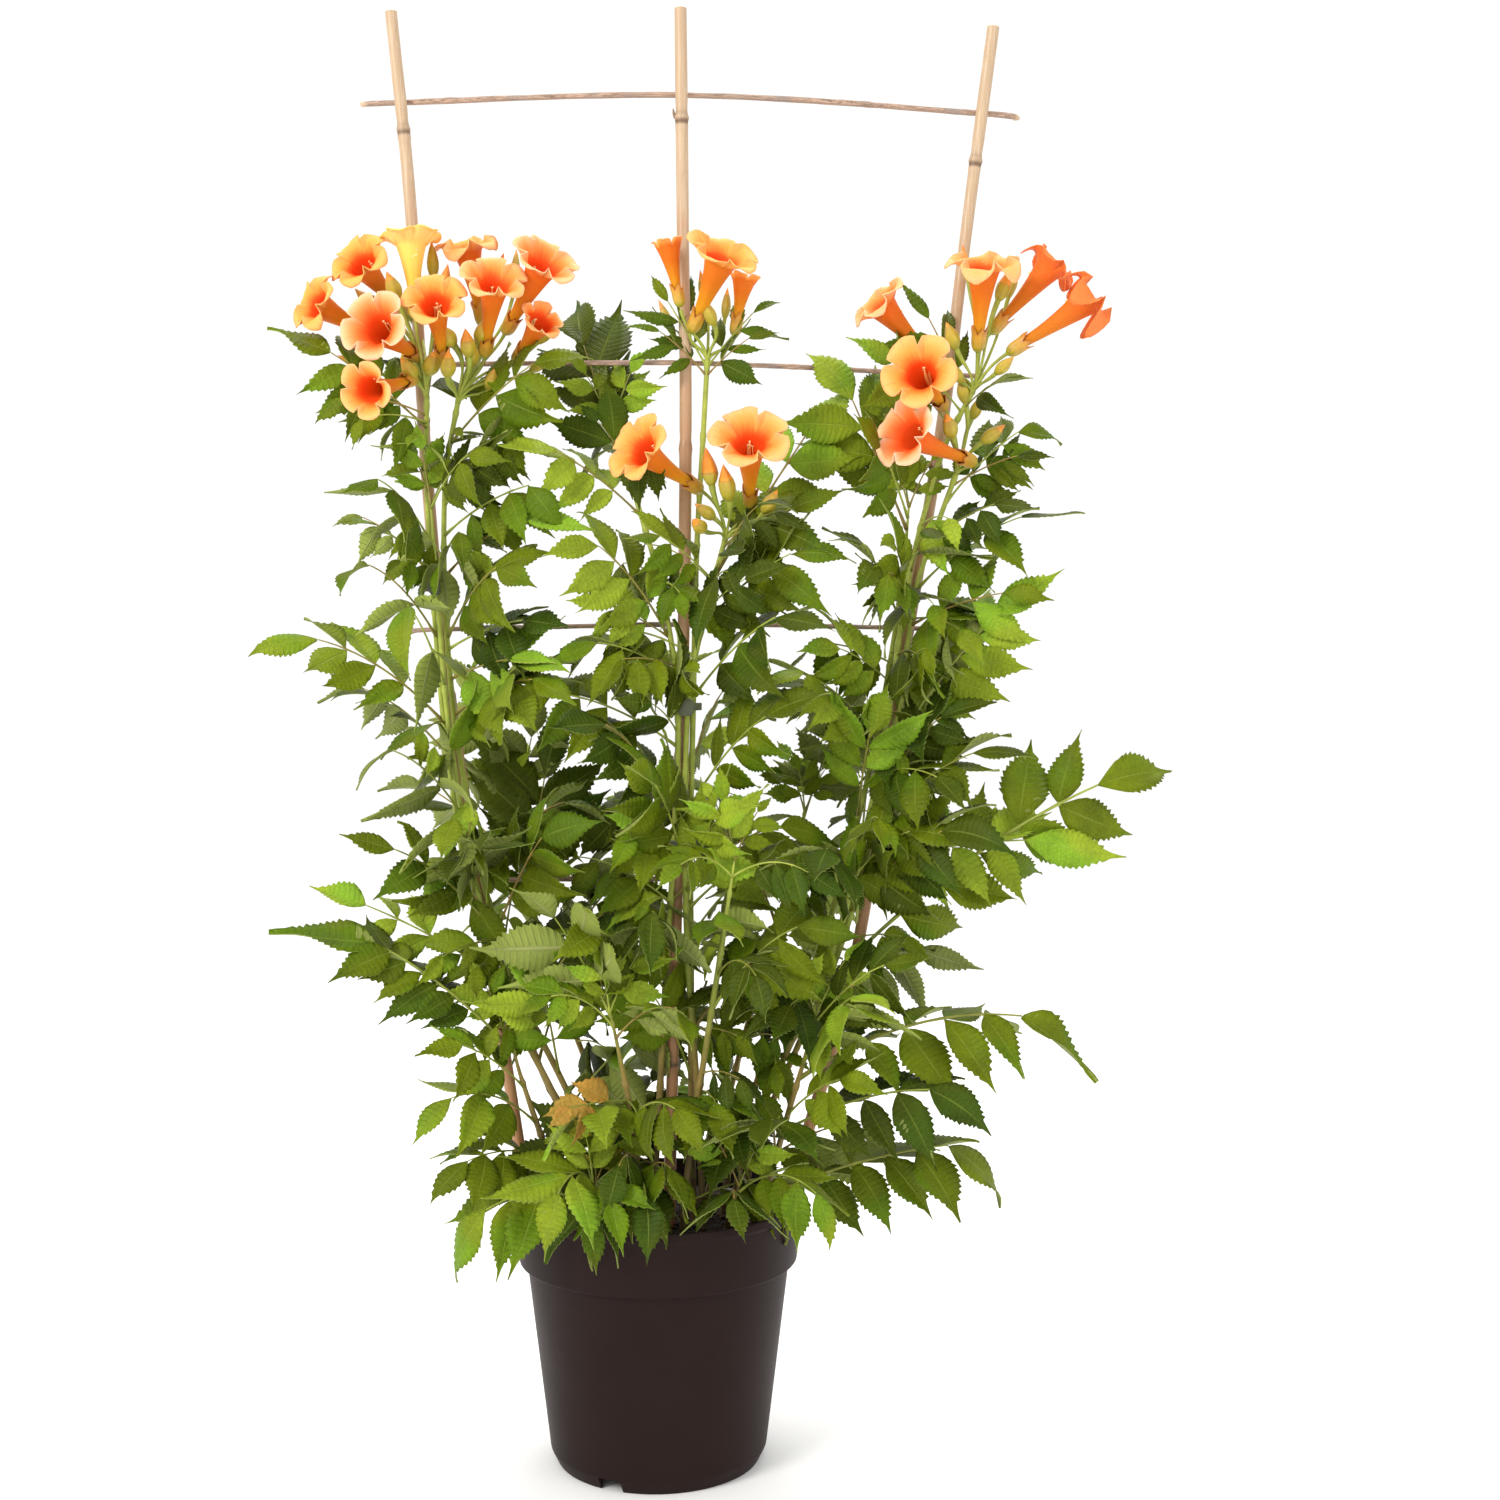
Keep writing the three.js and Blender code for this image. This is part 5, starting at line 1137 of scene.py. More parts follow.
def build_rails():
    section = [(math.cos(a) * 1.08, max(math.sin(a), -0.42) * 0.98) for a in around(RAIL_SIDES)]
    for name, (start, heights, end) in RAILS.items():
        draw = random.Random(name)
        middle = []
        for path, height in zip(CANES.values(), heights):
            middle.append(line_at(smooth_line(path, 60), height) + (0, CROSSING_GAP, 0))
        line = smooth_line([start, *middle, end], 120)
        wobble = np.cumsum([draw.gauss(0, 0.05) for _ in line])
        line[:, 2] += wobble - np.linspace(wobble[0], wobble[-1], len(line))
        run = np.linspace(0, 1, len(line))
        radii = RAIL_RADIUS * (0.97 + 0.05 * np.sin(run * 23 + draw.uniform(0, 6)) + 0.03 * np.sin(run * 71))
        for ring in (draw.uniform(0.12, 0.3), draw.uniform(0.55, 0.8)):
            radii += 0.5 * bump(run - ring, 0.006)
        shades = 0.5 + 0.5 * (bump(run, 0.012) + bump(1 - run, 0.012))
        skin = Skin()
        add_tube(skin, line, radii, RAIL_SIDES, 0, np.clip(shades, 0, 1), section)
        add_piece("split_" + name, skin, [split_bamboo], name, sharp=50)


def build_ties():
    for name, (centre, half) in TIES.items():
        skin = Skin()
        angles = around(TIE_SIDES)
        deep = TIE_THICKNESS
        high = TIE_HEIGHT / 2
        outline = [(0.25, -high), (deep - 0.25, -high), (deep, -high + 0.5), (deep, -0.6),
                   (deep - 0.25, 0), (deep, 0.6), (deep, high - 0.5), (deep - 0.25, high), (0.25, high),
                   (0, high - 0.4), (0, 0), (0, -high + 0.4)]
        rows = []
        for proud, rise in outline:
            x = centre[0] + (half[0] + proud) * np.cos(angles)
            y = centre[1] + (half[1] + proud) * np.sin(angles)
            tilt = 0.05 * (x - centre[0])
            rows.append(np.stack([x, y, centre[2] + rise + tilt], axis=-1))
        skin.add(rows, grid_quads(len(rows), len(angles), wrap=True))
        front = (centre[0] + 1.5, centre[1] - half[1] - deep, centre[2])
        add_block(skin, front, np.eye(3), (6.4, 2.6, 7.0), 0.5, 0.62)
        add_piece("band_" + name, skin, [tie_plastic], name, sharp=42)


# ---------------------------------------------------------------- leaves
# Half width of a leaflet, as a share of its greatest, along its length: a wedge at the foot, a belly and a
# narrow tip.
BELLY_AT = (0.0, 0.04, 0.10, 0.20, 0.30, 0.40, 0.50, 0.60, 0.70, 0.78, 0.85, 0.92, 1.0)
BELLIES = {
    "ovate": (0.03, 0.34, 0.68, 0.94, 1.0, 0.95, 0.81, 0.61, 0.37, 0.20, 0.105, 0.055, 0.010),
    "oval": (0.03, 0.22, 0.50, 0.83, 0.98, 1.0, 0.93, 0.75, 0.48, 0.26, 0.130, 0.060, 0.010),
}
FIRST_TOOTH = 0.24
LAST_TOOTH = 0.75
VARIANTS = 4


def leaflet_template(teeth, belly, variant):
    """Rings of points round a flat toothed leaflet one unit long: its upper side, then its underside."""
    draw = random.Random(f"{belly} {teeth} {variant}")
    step = (LAST_TOOTH - FIRST_TOOTH) / teeth
    rows = [(s, 0, 0, 5.5 + (s - FIRST_TOOTH) / step) for s in (0.0, 0.04, 0.10, 0.19)]
    for k in range(teeth):
        shift, left, right = draw.uniform(-0.14, 0.14), draw.uniform(0.5, 1.3), draw.uniform(0.5, 1.3)
        rows.append((FIRST_TOOTH + (k + max(shift, 0)) * step, -0.045 * left, 0.085 * right, k + 5.5))
        rows.append((FIRST_TOOTH + (k + 0.62 + shift) * step, 0.09 * left, -0.045 * right, k + 6.0))
    rows += [(LAST_TOOTH, -0.05, 0.07, teeth + 5.5), (0.84, 0, 0, teeth + 5.7), (0.93, 0, 0, teeth + 5.8),
             (1.0, 0, 0, teeth + 5.9)]
    share, left, right, count = [np.array(column)[:, None] for column in zip(*rows)]
    side = np.array((1, 0.55, 0, -0.55, -1, -1, 0, 1.0))[None]
    layer = np.array((0, 0, 0, 0, 0, 1, 1, 1.0))[None]
    half = np.interp(share, BELLY_AT, BELLIES[belly])
    tooth = np.where(side > 0.9, left, np.where(side < -0.9, right, 0.0)) * np.clip(half * 3, 0, 1)
    forward = 0.05 * np.abs(side) * (1 - share) * np.clip(share * 8, 0, 1)
    forward = forward + np.where(tooth > 0.01, 0.30 * step, 0.0)
    inner = (np.abs(side) > 0.3) & (np.abs(side) < 0.9)
    quilt = np.where(inner, np.where(left > 0.05, -0.005, np.where(left < -0.05, 0.007, 0.0)), 0.0)
    y = side * (half + tooth)
    return {"x": share + forward, "y": y, "quilt": quilt * half, "layer": layer, "side": side, "share": share,
            "across": np.stack(np.broadcast_arrays(side * 0.5 + 0.5, count), axis=-1)}


TEMPLATES = {(teeth, belly, variant): leaflet_template(teeth, belly, variant)
             for teeth in range(3, 9) for belly in BELLIES for variant in range(VARIANTS)}
UPPER_COLUMNS = 4
RUN = np.linspace(0, 1.2, 40)


def add_leaflet(skin, base, outward, up, length, draw, shade, slim):
    """One thin leaflet from its base: folded along its midrib, arched across and curled down to its tip."""
    most = settings("vine_foliage").teeth
    teeth = int(np.clip(round(length / 8.5 + either_way(draw, 0.6)), 3, most))
    form = TEMPLATES[teeth, draw.choice(("ovate", "oval")), draw.randrange(VARIANTS)]
    up = unit(up - outward * up.dot(outward))
    side = np.cross(up, outward)
    half = LEAFLET_WIDTH * slim * length * draw.uniform(0.84, 1.2)
    fold = draw.uniform(*LEAFLET_FOLD)
    camber = draw.uniform(*LEAFLET_CAMBER)
    wave = draw.uniform(*LEAFLET_WAVE)
    phase = draw.uniform(0, FULL_TURN)
    bend = 0.5 * draw.uniform(*LEAFLET_BEND)
    hook = either_way(draw, 0.5)
    twist = either_way(draw, 0.8)
    sway = either_way(draw, 0.12)
    y = form["y"] * half
    z = form["quilt"] * min(length, 36) + fold * np.abs(y) - camber * y ** 2 / half
    z = z + wave * length * np.sin(form["share"] * 7 + phase + form["side"]) * form["side"] ** 2
    z = z - form["layer"] * BLADE_THICKNESS
    turn = twist * form["share"]
    y, z = y * np.cos(turn) - z * np.sin(turn), y * np.sin(turn) + z * np.cos(turn)
    tilt = bend * RUN ** 1.2 + hook * np.clip((RUN - 0.75) / 0.25, 0, 1)
    step = RUN[1]
    spine_x = np.concatenate([[0], np.cumsum(np.cos(tilt[:-1]) * step)])
    spine_z = np.concatenate([[0], np.cumsum(-np.sin(tilt[:-1]) * step)])
    here = np.interp(form["x"], RUN, tilt)
    x = length * np.interp(form["x"], RUN, spine_x) + z * np.sin(here)
    z = length * np.interp(form["x"], RUN, spine_z) + z * np.cos(here)
    y = y + sway * length * form["share"] ** 2
    points = base + x[..., None] * outward + y[..., None] * side + z[..., None] * up
    rows, columns = points.shape[:2]
    under = np.tile(np.arange(columns) >= UPPER_COLUMNS, rows - 1).astype(int)
    slots = np.concatenate([under, np.ones(2 * columns, int)])
    across = np.vstack([form["across"].reshape(-1, 2), [(0.5, 0.15), (0.5, teeth + 5.9)]])
    add_rings(skin, points, [points[0].mean(axis=0), points[-1].mean(axis=0)], slots, shade, across)


def add_leaf(skin, base, tip, arch, face, pairs, draw, shade, hang, wood, scale=1.0, stray=1.0, slim=1.0,
             fan=1.0):
    """A compound leaf: a rachis from base to tip, pairs of leaflets along it and one at its end."""
    base, tip = np.asarray(base, float), np.asarray(tip, float)
    length = np.linalg.norm(tip - base)
    control = (base + tip) / 2 + UP * 2 * arch
    control[:2] += [either_way(draw, STRAY["bend"]) * length for _ in range(2)]
    turn = math.radians(face + either_way(draw, STRAY["turn"]))
    terminal = min(LEAF_SIZES["terminal_share"] * length, LEAF_SIZES["longest"])
    rachis_end = 1 - terminal / length
    spacing = (rachis_end - LEAF_SIZES["petiole_share"]) / pairs
    crowding = 1.15 if pairs > 2 else 1
    side_length = min(LEAF_SIZES["to_spacing"] * spacing * length * crowding, LEAF_SIZES["side"]) * scale

    def frame_at(t):
        centre = (1 - t) ** 2 * base + 2 * t * (1 - t) * control + t ** 2 * tip
        along = unit(2 * (1 - t) * (control - base) + 2 * t * (tip - control))
        normal = UP * math.cos(turn) + FRONT * math.sin(turn)
        normal = unit(normal - along * normal.dot(along))
        return centre, along, normal, np.cross(along, normal)

    shares = np.linspace(0, rachis_end, 15)
    line = np.array([frame_at(t)[0] for t in shares])
    thick = 0.55 + length * 0.0032
    radii = np.interp(shares / rachis_end, *RACHIS_RADII) * thick
    for pair in range(pairs):
        mark = LEAF_SIZES["petiole_share"] + pair * spacing
        radii += 0.25 * thick * bump(shares - mark, 0.02)
    add_tube(skin, line, radii, 6, 2, wood)

    def leaflet(share, angle, size, stalk):
        centre, along, normal, across = frame_at(share)
        spread = math.radians(angle)
        outward = along * math.cos(spread) + across * math.sin(spread)
        droop = math.radians(DROOP + stray * either_way(draw, STRAY["droop"])) * 0.7
        up = normal * math.cos(droop) + outward * math.sin(droop)
        outward = outward * math.cos(droop) - normal * math.sin(droop)
        sag = min(hang * draw.uniform(0.6, 1.4), 0.8)
        outward = unit(outward * (1 - sag) - UP * sag)
        side = np.cross(outward, up)
        twist = math.radians(stray * either_way(draw, STRAY["twist"]))
        up = up * math.cos(twist) + side * math.sin(twist)
        start = centre + outward * stalk
        if stalk > 1:
            radii = np.array((0.75, 0.5, 0.4)) * thick
            add_tube(skin, [centre, start, start + outward], radii, 5, 2, wood)
        tone = float(np.clip(shade + either_way(draw, 0.09), 0, 1)) if shade < WITHERED else shade
        add_leaflet(skin, start, outward, up, size * draw.uniform(*LEAFLET_SCALE), draw, tone, slim)

    for pair in range(pairs):
        share = LEAF_SIZES["petiole_share"] + pair * spacing
        spread = fan * (FIRST_PAIR_SPREAD - SPREAD_LOSS * pair / pairs)
        size = side_length * (0.86 if pair == 0 else 1.0)
        for sign in (1, -1):
            leaflet(share, sign * spread + stray * either_way(draw, STRAY["spread"]), size, PAIR_STALK)
    leaflet(rachis_end, either_way(draw, STRAY["tip_turn"]), terminal * 1.02 * scale, END_STALK)


def leaf_shade(draw):
    """A dark green for a third of the leaves, a middle one for four tenths, a young one for the rest."""
    kind = draw.random()
    if kind < 0.32:
        return draw.uniform(0.12, 0.28)
    if kind < 0.73:
        return draw.uniform(0.32, 0.48)
    return draw.uniform(0.50, 0.70)


# Where the further leaves of each side of the plant may reach: height, farthest left, farthest right.
REACH = {
    "left": ((220, -165, 60), (300, -190, 60), (400, -215, 40), (560, -208, 30), (690, -212, 0),
             (760, -222, -70), (900, -225, -80)),
    "middle": ((220, -150, 150), (400, -150, 180), (560, -135, 190), (690, -100, 170), (760, -80, 140),
               (900, -80, 140)),
    "right": ((220, 20, 200), (300, 20, 290), (400, 30, 300), (560, 60, 262), (690, 100, 285),
              (760, 140, 325), (900, 165, 320)),
}

# How the further leaves change with height: heights, then values.
FILLING_SHARE = ((300, 420, 660, 760), (0.85, 1.1, 1.05, 0.62))
LEFT_SHARE = ((520, 640), (1.0, 0.4))
FILLING_LENGTH = ((230, 450, 650, 780, 880), (150, 148, 122, 96, 74))
FILLING_HANG = ((560, 700), (0, 0.2))
FILLING_JOINTS = (46, 62)

# Openings in the foliage as seen from the front: where across, how high, half width, half height.
OPENINGS = (
    (-240, 847, 34, 36), (-237, 735, 32, 28), (-222, 639, 26, 24), (-208, 574, 34, 30), (-196, 500, 26, 48),
    (-240, 411, 44, 26), (-188, 388, 34, 18), (-107, 767, 30, 20), (-59, 799, 26, 20), (-27, 612, 22, 34),
    (-20, 925, 40, 40), (117, 703, 34, 20), (125, 630, 34, 24), (294, 767, 40, 24), (272, 736, 34, 18),
    (278, 582, 36, 34), (-152, 300, 50, 20), (-66, 336, 34, 30), (228, 738, 26, 18), (100, 628, 26, 26),
)


def nearness(depth, plane):
    """How large a thing at a depth looks from the front, next to one in an upright plane."""
    return 1 - (depth - plane) / (VIEW_DISTANCE + plane)


def in_an_opening(point):
    """Whether a point shows in one of the openings when seen from the front."""
    near = nearness(point[1], -50)
    return any(abs(point[0] * near - x) < wide and abs(point[2] - z) < tall for x, z, wide, tall in OPENINGS)


def blooms_of(stem):
    return [row for row in BLOOMS if row[1] == stem]


def filling_leaves(stem, line, draw):
    """Opposite leaves at the stem's joints, each pair square to the last; some are left out."""
    low, high = line[0][2] + 22, line[-1][2] - 18
    height = low + draw.uniform(0, 25)
    azimuth = draw.uniform(0, math.pi)
    part = "left" if line[-1][0] < -90 else "right" if line[-1][0] > 100 else "middle"
    heights, lefts, rights = zip(*REACH[part])
    while height < high:
        base = line_at(line, height)
        share = np.interp(height, *FILLING_SHARE) * settings("vine_foliage").filling
        if part == "left":
            share *= np.interp(height, *LEFT_SHARE)
        for turn in (azimuth, azimuth + math.pi):
            turn += either_way(draw, 0.5)
            length = np.interp(height, *FILLING_LENGTH) * draw.uniform(0.82, 1.12)
            rise = math.radians(draw.uniform(0, 50))
            keep = draw.random() < share
            flat = math.cos(rise)
            way = (math.cos(turn) * flat, math.sin(turn) * flat * 0.9, math.sin(rise))
            tip = base + length * np.array(way)
            near = nearness(tip[1], 0)
            left, right = np.interp(tip[2], heights, lefts) / near, np.interp(tip[2], heights, rights) / near
            tip = np.clip(tip, (left, FILLING_DEPTHS[0], FILLING_HEIGHTS[0]),
                          (right, FILLING_DEPTHS[1], FILLING_HEIGHTS[1]))
            face = draw.uniform(-10, 68) if math.sin(turn) < 0.35 else draw.uniform(-60, -5)
            if draw.random() < 0.22:
                face = -face
            shade = leaf_shade(draw)
            hang = draw.uniform(0.05, 0.5) + np.interp(height, *FILLING_HANG)
            closed = in_an_opening(tip) or in_an_opening(0.4 * base + 0.6 * tip)
            if keep and not closed and np.linalg.norm(tip - base) > 45:
                pairs = 3 if length > 112 else 2
                yield base, tip, length * draw.uniform(0.08, 0.20), face, pairs, shade, hang
        cover = {"left": 0.45 if height < 640 else 0.05, "middle": 0.25, "right": 0.45}[part]
        if height > 330 and draw.random() < cover:
            turn = -math.pi / 2 + either_way(draw, 1.1)
            rise = math.radians(either_way(draw, 25))
            flat = draw.uniform(58, 92) * math.cos(rise)
            reach = np.array((math.cos(turn) * flat, math.sin(turn) * flat, math.sin(rise) * 75))
            yield base, base + reach, 8, draw.uniform(45, 80), draw.choice((1, 2)), leaf_shade(draw), 0.5
        height += draw.uniform(*FILLING_JOINTS)
        azimuth += math.pi / 2 + either_way(draw, 0.3)
    for k in range(0 if blooms_of(stem) else 3):
        turn = azimuth + k * 2.1
        length = draw.uniform(52, 74)
        tip = line[-1] + length * np.array((0.5 * math.cos(turn), 0.5 * math.sin(turn), 0.86))
        yield line[-1] - (0, 0, 1.5), tip, 5, draw.uniform(35, 75), 2, draw.uniform(0.5, 0.68), 0.05


def build_leaves():
    looks = [leaf_upper_side, leaf_underside, vine_stalk]
    for stem, path in STEMS.items():
        draw = random.Random("leaves " + stem)
        line = np.asarray(path, float)
        skin = Skin()
        for height, tip, arch, face, pairs, seed, *differs in LEAVES[stem]:
            own = random.Random(seed * SEED_STEP + height)
            rule = {"shade": leaf_shade(own), "hang": own.uniform(0.02, 0.30),
                    "wood": own.uniform(*WOOD_SHADES)}
            rule.update(*differs)
            add_leaf(skin, line_at(line, height), tip, arch, face, pairs, own, **rule)
        for base, tip, arch, face, pairs, shade, hang in filling_leaves(stem, line, draw):
            wood = draw.uniform(*WOOD_SHADES)
            add_leaf(skin, base, tip, arch, face, pairs, draw, shade, hang, wood, FILLING_SCALE,
                     FILLING_STRAY)
        add_piece("leaves_" + stem, skin, looks, stem)


# ---------------------------------------------------------------- stems
def build_stems():
    for stem, path in STEMS.items():
        draw = random.Random("stem " + stem)
        foot = np.asarray(path[0], float) - UP * STEM_DEPTH
        line = smooth_line([foot, *path], 200)
        rise = np.clip((line[:, 2] - STEM_START) / (line[-1][2] - STEM_START), 0, 1)
        radii = STEM_FOOT_RADIUS + (STEM_TOP_RADIUS - STEM_FOOT_RADIUS) * rise
        run = run_along(line)
        if not blooms_of(stem):
            radii = radii * np.interp(run[-1] - run, (0, 70), (0.4, 1.0))
        joint = draw.uniform(45, 70)
        while joint < run[-1]:
            radii = radii + 0.75 * bump(run - joint, 3.0)
            joint += draw.uniform(*STEM_JOINTS)
        shades = 0.12 + 0.86 * np.clip((line[:, 2] - 220) / 260, 0, 1)
        skin = Skin()
        add_tube(skin, line, radii, 10, 0, shades)
        add_piece("vine_" + stem, skin, [vine_stalk], stem)


# ---------------------------------------------------------------- flowers
def axes_along(direction):
    """A square frame whose third direction is given, turned as little as possible from upright."""
    direction = unit(np.asarray(direction, float))
    hinge = np.cross(UP, direction)
    sine, cosine = np.linalg.norm(hinge), direction[2]
    if sine < 1e-6:
        return np.eye(3) if cosine > 0 else np.diag((1.0, -1.0, -1.0))
    x, y, z = hinge / sine
    cross = np.array(((0, -z, y), (z, 0, -x), (-y, x, 0)))
    turn = np.eye(3) + sine * cross + (1 - cosine) * cross @ cross
    return turn.T


def grid_normals(grid):
    """Outward directions of rows of rings of points."""
    sideways = np.roll(grid, -1, axis=1) - np.roll(grid, 1, axis=1)
    normals = np.cross(sideways, np.gradient(grid, axis=0))
    return normals / np.maximum(np.linalg.norm(normals, axis=2, keepdims=True), 1e-9)


def add_shell(skin, grid, thickness, slots, across, shade):
    """A thin wall: rows of rings outside, the same inside by a thickness, joined at both ends."""
    rows, columns = grid.shape[:2]
    inner = grid - grid_normals(grid) * thickness
    points = np.concatenate([grid, inner[::-1]])
    quads = grid_quads(2 * rows, columns, wrap=True)
    kinds = np.where(np.arange(2 * rows) < rows, slots[0], slots[1])
    spread = np.concatenate([across, across[::-1]])
    shades = np.broadcast_to(np.asarray(shade, float), (rows, columns))
    skin.add(points.reshape(-1, 3), quads, np.repeat(kinds, columns), spread.reshape(-1, 2),
             np.concatenate([shades, shades[::-1]]).ravel())


TUBE_RUN = (0.0, 0.05, 0.14, 0.26, 0.40, 0.54, 0.66, 0.76, 0.84)
TUBE_RADII = (3.9, 4.3, 4.8, 5.6, 6.9, 8.4, 10.0, 11.6, 13.2)
LIMB_STEPS = 9
PETAL_THICKNESS = 0.8
CALYX_THICKNESS = 0.7
LOBE_REACH = 32.0
STAMEN_TURNS = (-0.75, -0.3, 0.3, 0.75)
ARCH_PULL = 0.42

# Rings of a calyx from its foot: share of its depth, radius, shade.
CALYX_ROWS = ((0, 1.7, 0.0), (0.06, 2.8, 0.05), (0.16, 4.3, 0.15), (0.32, 5.4, 0.3), (0.5, 5.9, 0.42),
              (0.68, 6.0, 0.52), (0.82, 6.0, 0.62), (0.92, 6.1, 0.75), (1.0, 6.4, 0.95))
CALYX_DEPTH = 15
# Rings of a bud from its foot: share of its length, share of its radius.
BUD_ROWS = ((0, 0.40), (0.06, 0.60), (0.16, 0.80), (0.28, 0.94), (0.42, 0.96), (0.56, 0.84), (0.7, 0.64),
            (0.82, 0.42), (0.92, 0.22), (1.0, 0.05))


def bloom_grid(length, spread, size, back, draw):
    """Rows of rings for a bloom along the upright axis, from its foot to the edge of its five lobes."""
    columns = settings("vine_flowers").columns
    theta = around(columns)
    lobe = np.floor(theta / (FULL_TURN / 5)).astype(int)
    swing = np.abs(np.cos(2.5 * (theta - math.pi / 5)))
    reach = np.array([draw.uniform(0.92, 1.06) for _ in range(5)])[lobe]
    reflex = np.array([back * draw.uniform(0.4, 1.6) for _ in range(5)])[lobe]
    lean = np.array([either_way(draw, 0.14) for _ in range(5)])[lobe]
    inset = np.clip(swing, 0, 1) ** 0.26
    edge = spread * (0.62 + (0.38 * reach) * inset)
    tube_scale = 0.55 + 0.45 * size
    oval = 1 + 0.05 * np.cos(2 * theta + draw.uniform(0, 6))
    groove = 1 - 0.035 * (1 - swing)
    closed = 0.11 * np.clip((0.72 - size) / 0.2, 0, 1) * (1 - inset)
    rows, shares = [], []
    runs = np.linspace(0, 1, 15)
    for run, radius in zip(np.interp(runs, np.linspace(0, 1, 9), TUBE_RUN),
                           np.interp(runs, np.linspace(0, 1, 9), TUBE_RADII)):
        r = radius * tube_scale * oval * (groove if run > 0.3 else 1.0)
        rows.append(ring_at(r, theta, run * length))
        shares.append(run * 0.72)
    base_radius = TUBE_RADII[-1] * tube_scale * oval * groove
    ripple = draw.uniform(0, 6)
    for k in range(1, LIMB_STEPS + 1):
        q = k / LIMB_STEPS
        r = base_radius + (edge - base_radius) * q ** 0.92
        height = length * (0.84 + (0.16 - closed) * math.sin(q * math.pi / 2))
        curl = reflex * spread * q ** 2.6 * swing
        notch_lift = 0.04 * spread * (1 - swing) * q
        cup = 0.10 * spread * math.sin(q * math.pi) * (1 - swing ** 2)
        crinkle = 0.014 * spread * q ** 2 * np.sin(theta * 15 + ripple + 2 * np.sin(theta * 3))
        tilt = lean * spread * q ** 2 * np.sin(5 * theta) * 0.5
        groove_line = 0.03 * spread * q * np.clip(swing - 0.9, 0, 1) * 10 * (1 - 0.6 * q)
        rows.append(ring_at(r, theta, height - curl + notch_lift - cup + crinkle + tilt - groove_line))
        shares.append(0.6 + 0.4 * (0.05 + 0.95 * q))
    shares = np.maximum.accumulate(shares)
    across = np.stack(np.broadcast_arrays(theta[None] / FULL_TURN, shares[:, None]), axis=-1)
    return np.array(rows), across


def add_stamens(skin, axes, seat, length, size, draw):
    """Four stamens that bow together under the roof of the throat, and a style between them."""
    roof = axes @ UP
    roof_turn = math.atan2(roof[1], roof[0])
    for spread in (*STAMEN_TURNS, 0.0):
        style = spread == 0
        turn = roof_turn + spread + either_way(draw, 0.1)
        reach = length * (0.74 if style else draw.uniform(0.62, 0.70))
        local = []
        for t in np.linspace(0, 1, 9):
            radius = (2.0 + 6.5 * t - 2.0 * math.sin(t * math.pi)) * (0.5 + 0.5 * size)
            sweep = turn - spread * 0.75 * t ** 2
            height = length * 0.25 + (reach - length * 0.25) * t
            local.append((radius * math.cos(sweep), radius * math.sin(sweep), height))
        line = seat + np.array(local) @ axes
        add_tube(skin, line, np.linspace(0.5, 0.36, 9), 6, 2, 0.0)
        tip = line[-1]
        lean = unit(np.array((either_way(draw, 1), either_way(draw, 1), either_way(draw, 0.3))))
        if style:
            add_tube(skin, [tip - lean * 1.2, tip, tip + lean * 1.2], [0.5, 0.9, 0.5], 6, 2, 0.5)
        else:
            for sign in (-1, 1):
                end = tip + sign * lean * 2.2 + np.array((0, 0, 0.5))
                add_tube(skin, [tip, (tip + end) / 2, end], [0.5, 0.85, 0.4], 6, 2, 1.0)


def build_blooms():
    looks = [petal_outside, petal_inside, stamen]
    for name, _, seat, mouth, size, blush, back in BLOOMS:
        draw = random.Random(name)
        seat = np.asarray(seat, float)
        axis = np.asarray(mouth, float) - seat
        length = np.linalg.norm(axis)
        axes = axes_along(axis)
        grid, across = bloom_grid(length, LOBE_REACH * size, size, back, draw)
        droop = 0.035 * length * np.sin(grid[..., 2] / length * math.pi)
        placed = seat + grid @ axes - droop[..., None] * UP * 0.6
        skin = Skin()
        add_shell(skin, placed, PETAL_THICKNESS, (0, 1), across, blush)
        add_stamens(skin, axes, seat, length, size, draw)
        add_piece(name.replace("bloom", "petals"), skin, looks, name)


# ---------------------------------------------------------------- trusses: stalks, calyces and buds
def arched(start, start_way, end, end_way, steps):
    """Points of a curve that leaves one way and arrives another."""
    reach = np.linalg.norm(np.asarray(end) - start) * ARCH_PULL
    first, second = start + start_way * reach, end - end_way * reach
    t = np.linspace(0, 1, steps + 1)[:, None]
    return (1 - t) ** 3 * start + 3 * t * (1 - t) ** 2 * first + 3 * t ** 2 * (1 - t) * second + t ** 3 * end


def add_calyx(skin, seat, axes, draw, size):
    """A ribbed cup with five pointed teeth that holds the foot of a bloom."""
    theta = around(40)
    part = theta * 5 / FULL_TURN + 0.5
    tooth = 1 - np.abs((part % 1) * 2 - 1)
    lengths = np.array([draw.uniform(0.8, 1.3) for _ in range(6)])[part.astype(int) % 5]
    rib = 1 + 0.06 * np.cos(5 * theta)
    rows, tones = [], []
    for t, radius, tone in CALYX_ROWS:
        top = 1.0 + 6.2 * tooth * lengths
        height = (t - 1) * CALYX_DEPTH + np.clip((t - 0.6) / 0.4, 0, 1) ** 1.2 * top
        flare = 1 + 0.10 * np.clip((t - 0.8) / 0.2, 0, 1) * tooth
        r = radius * size * rib * flare
        rows.append(ring_at(r, theta, height * size))
        tones.append([tone])
    grid = np.array(rows)
    across = np.zeros(grid.shape[:2] + (2,))
    add_shell(skin, seat + grid @ axes, CALYX_THICKNESS, (1, 1), across, tones)


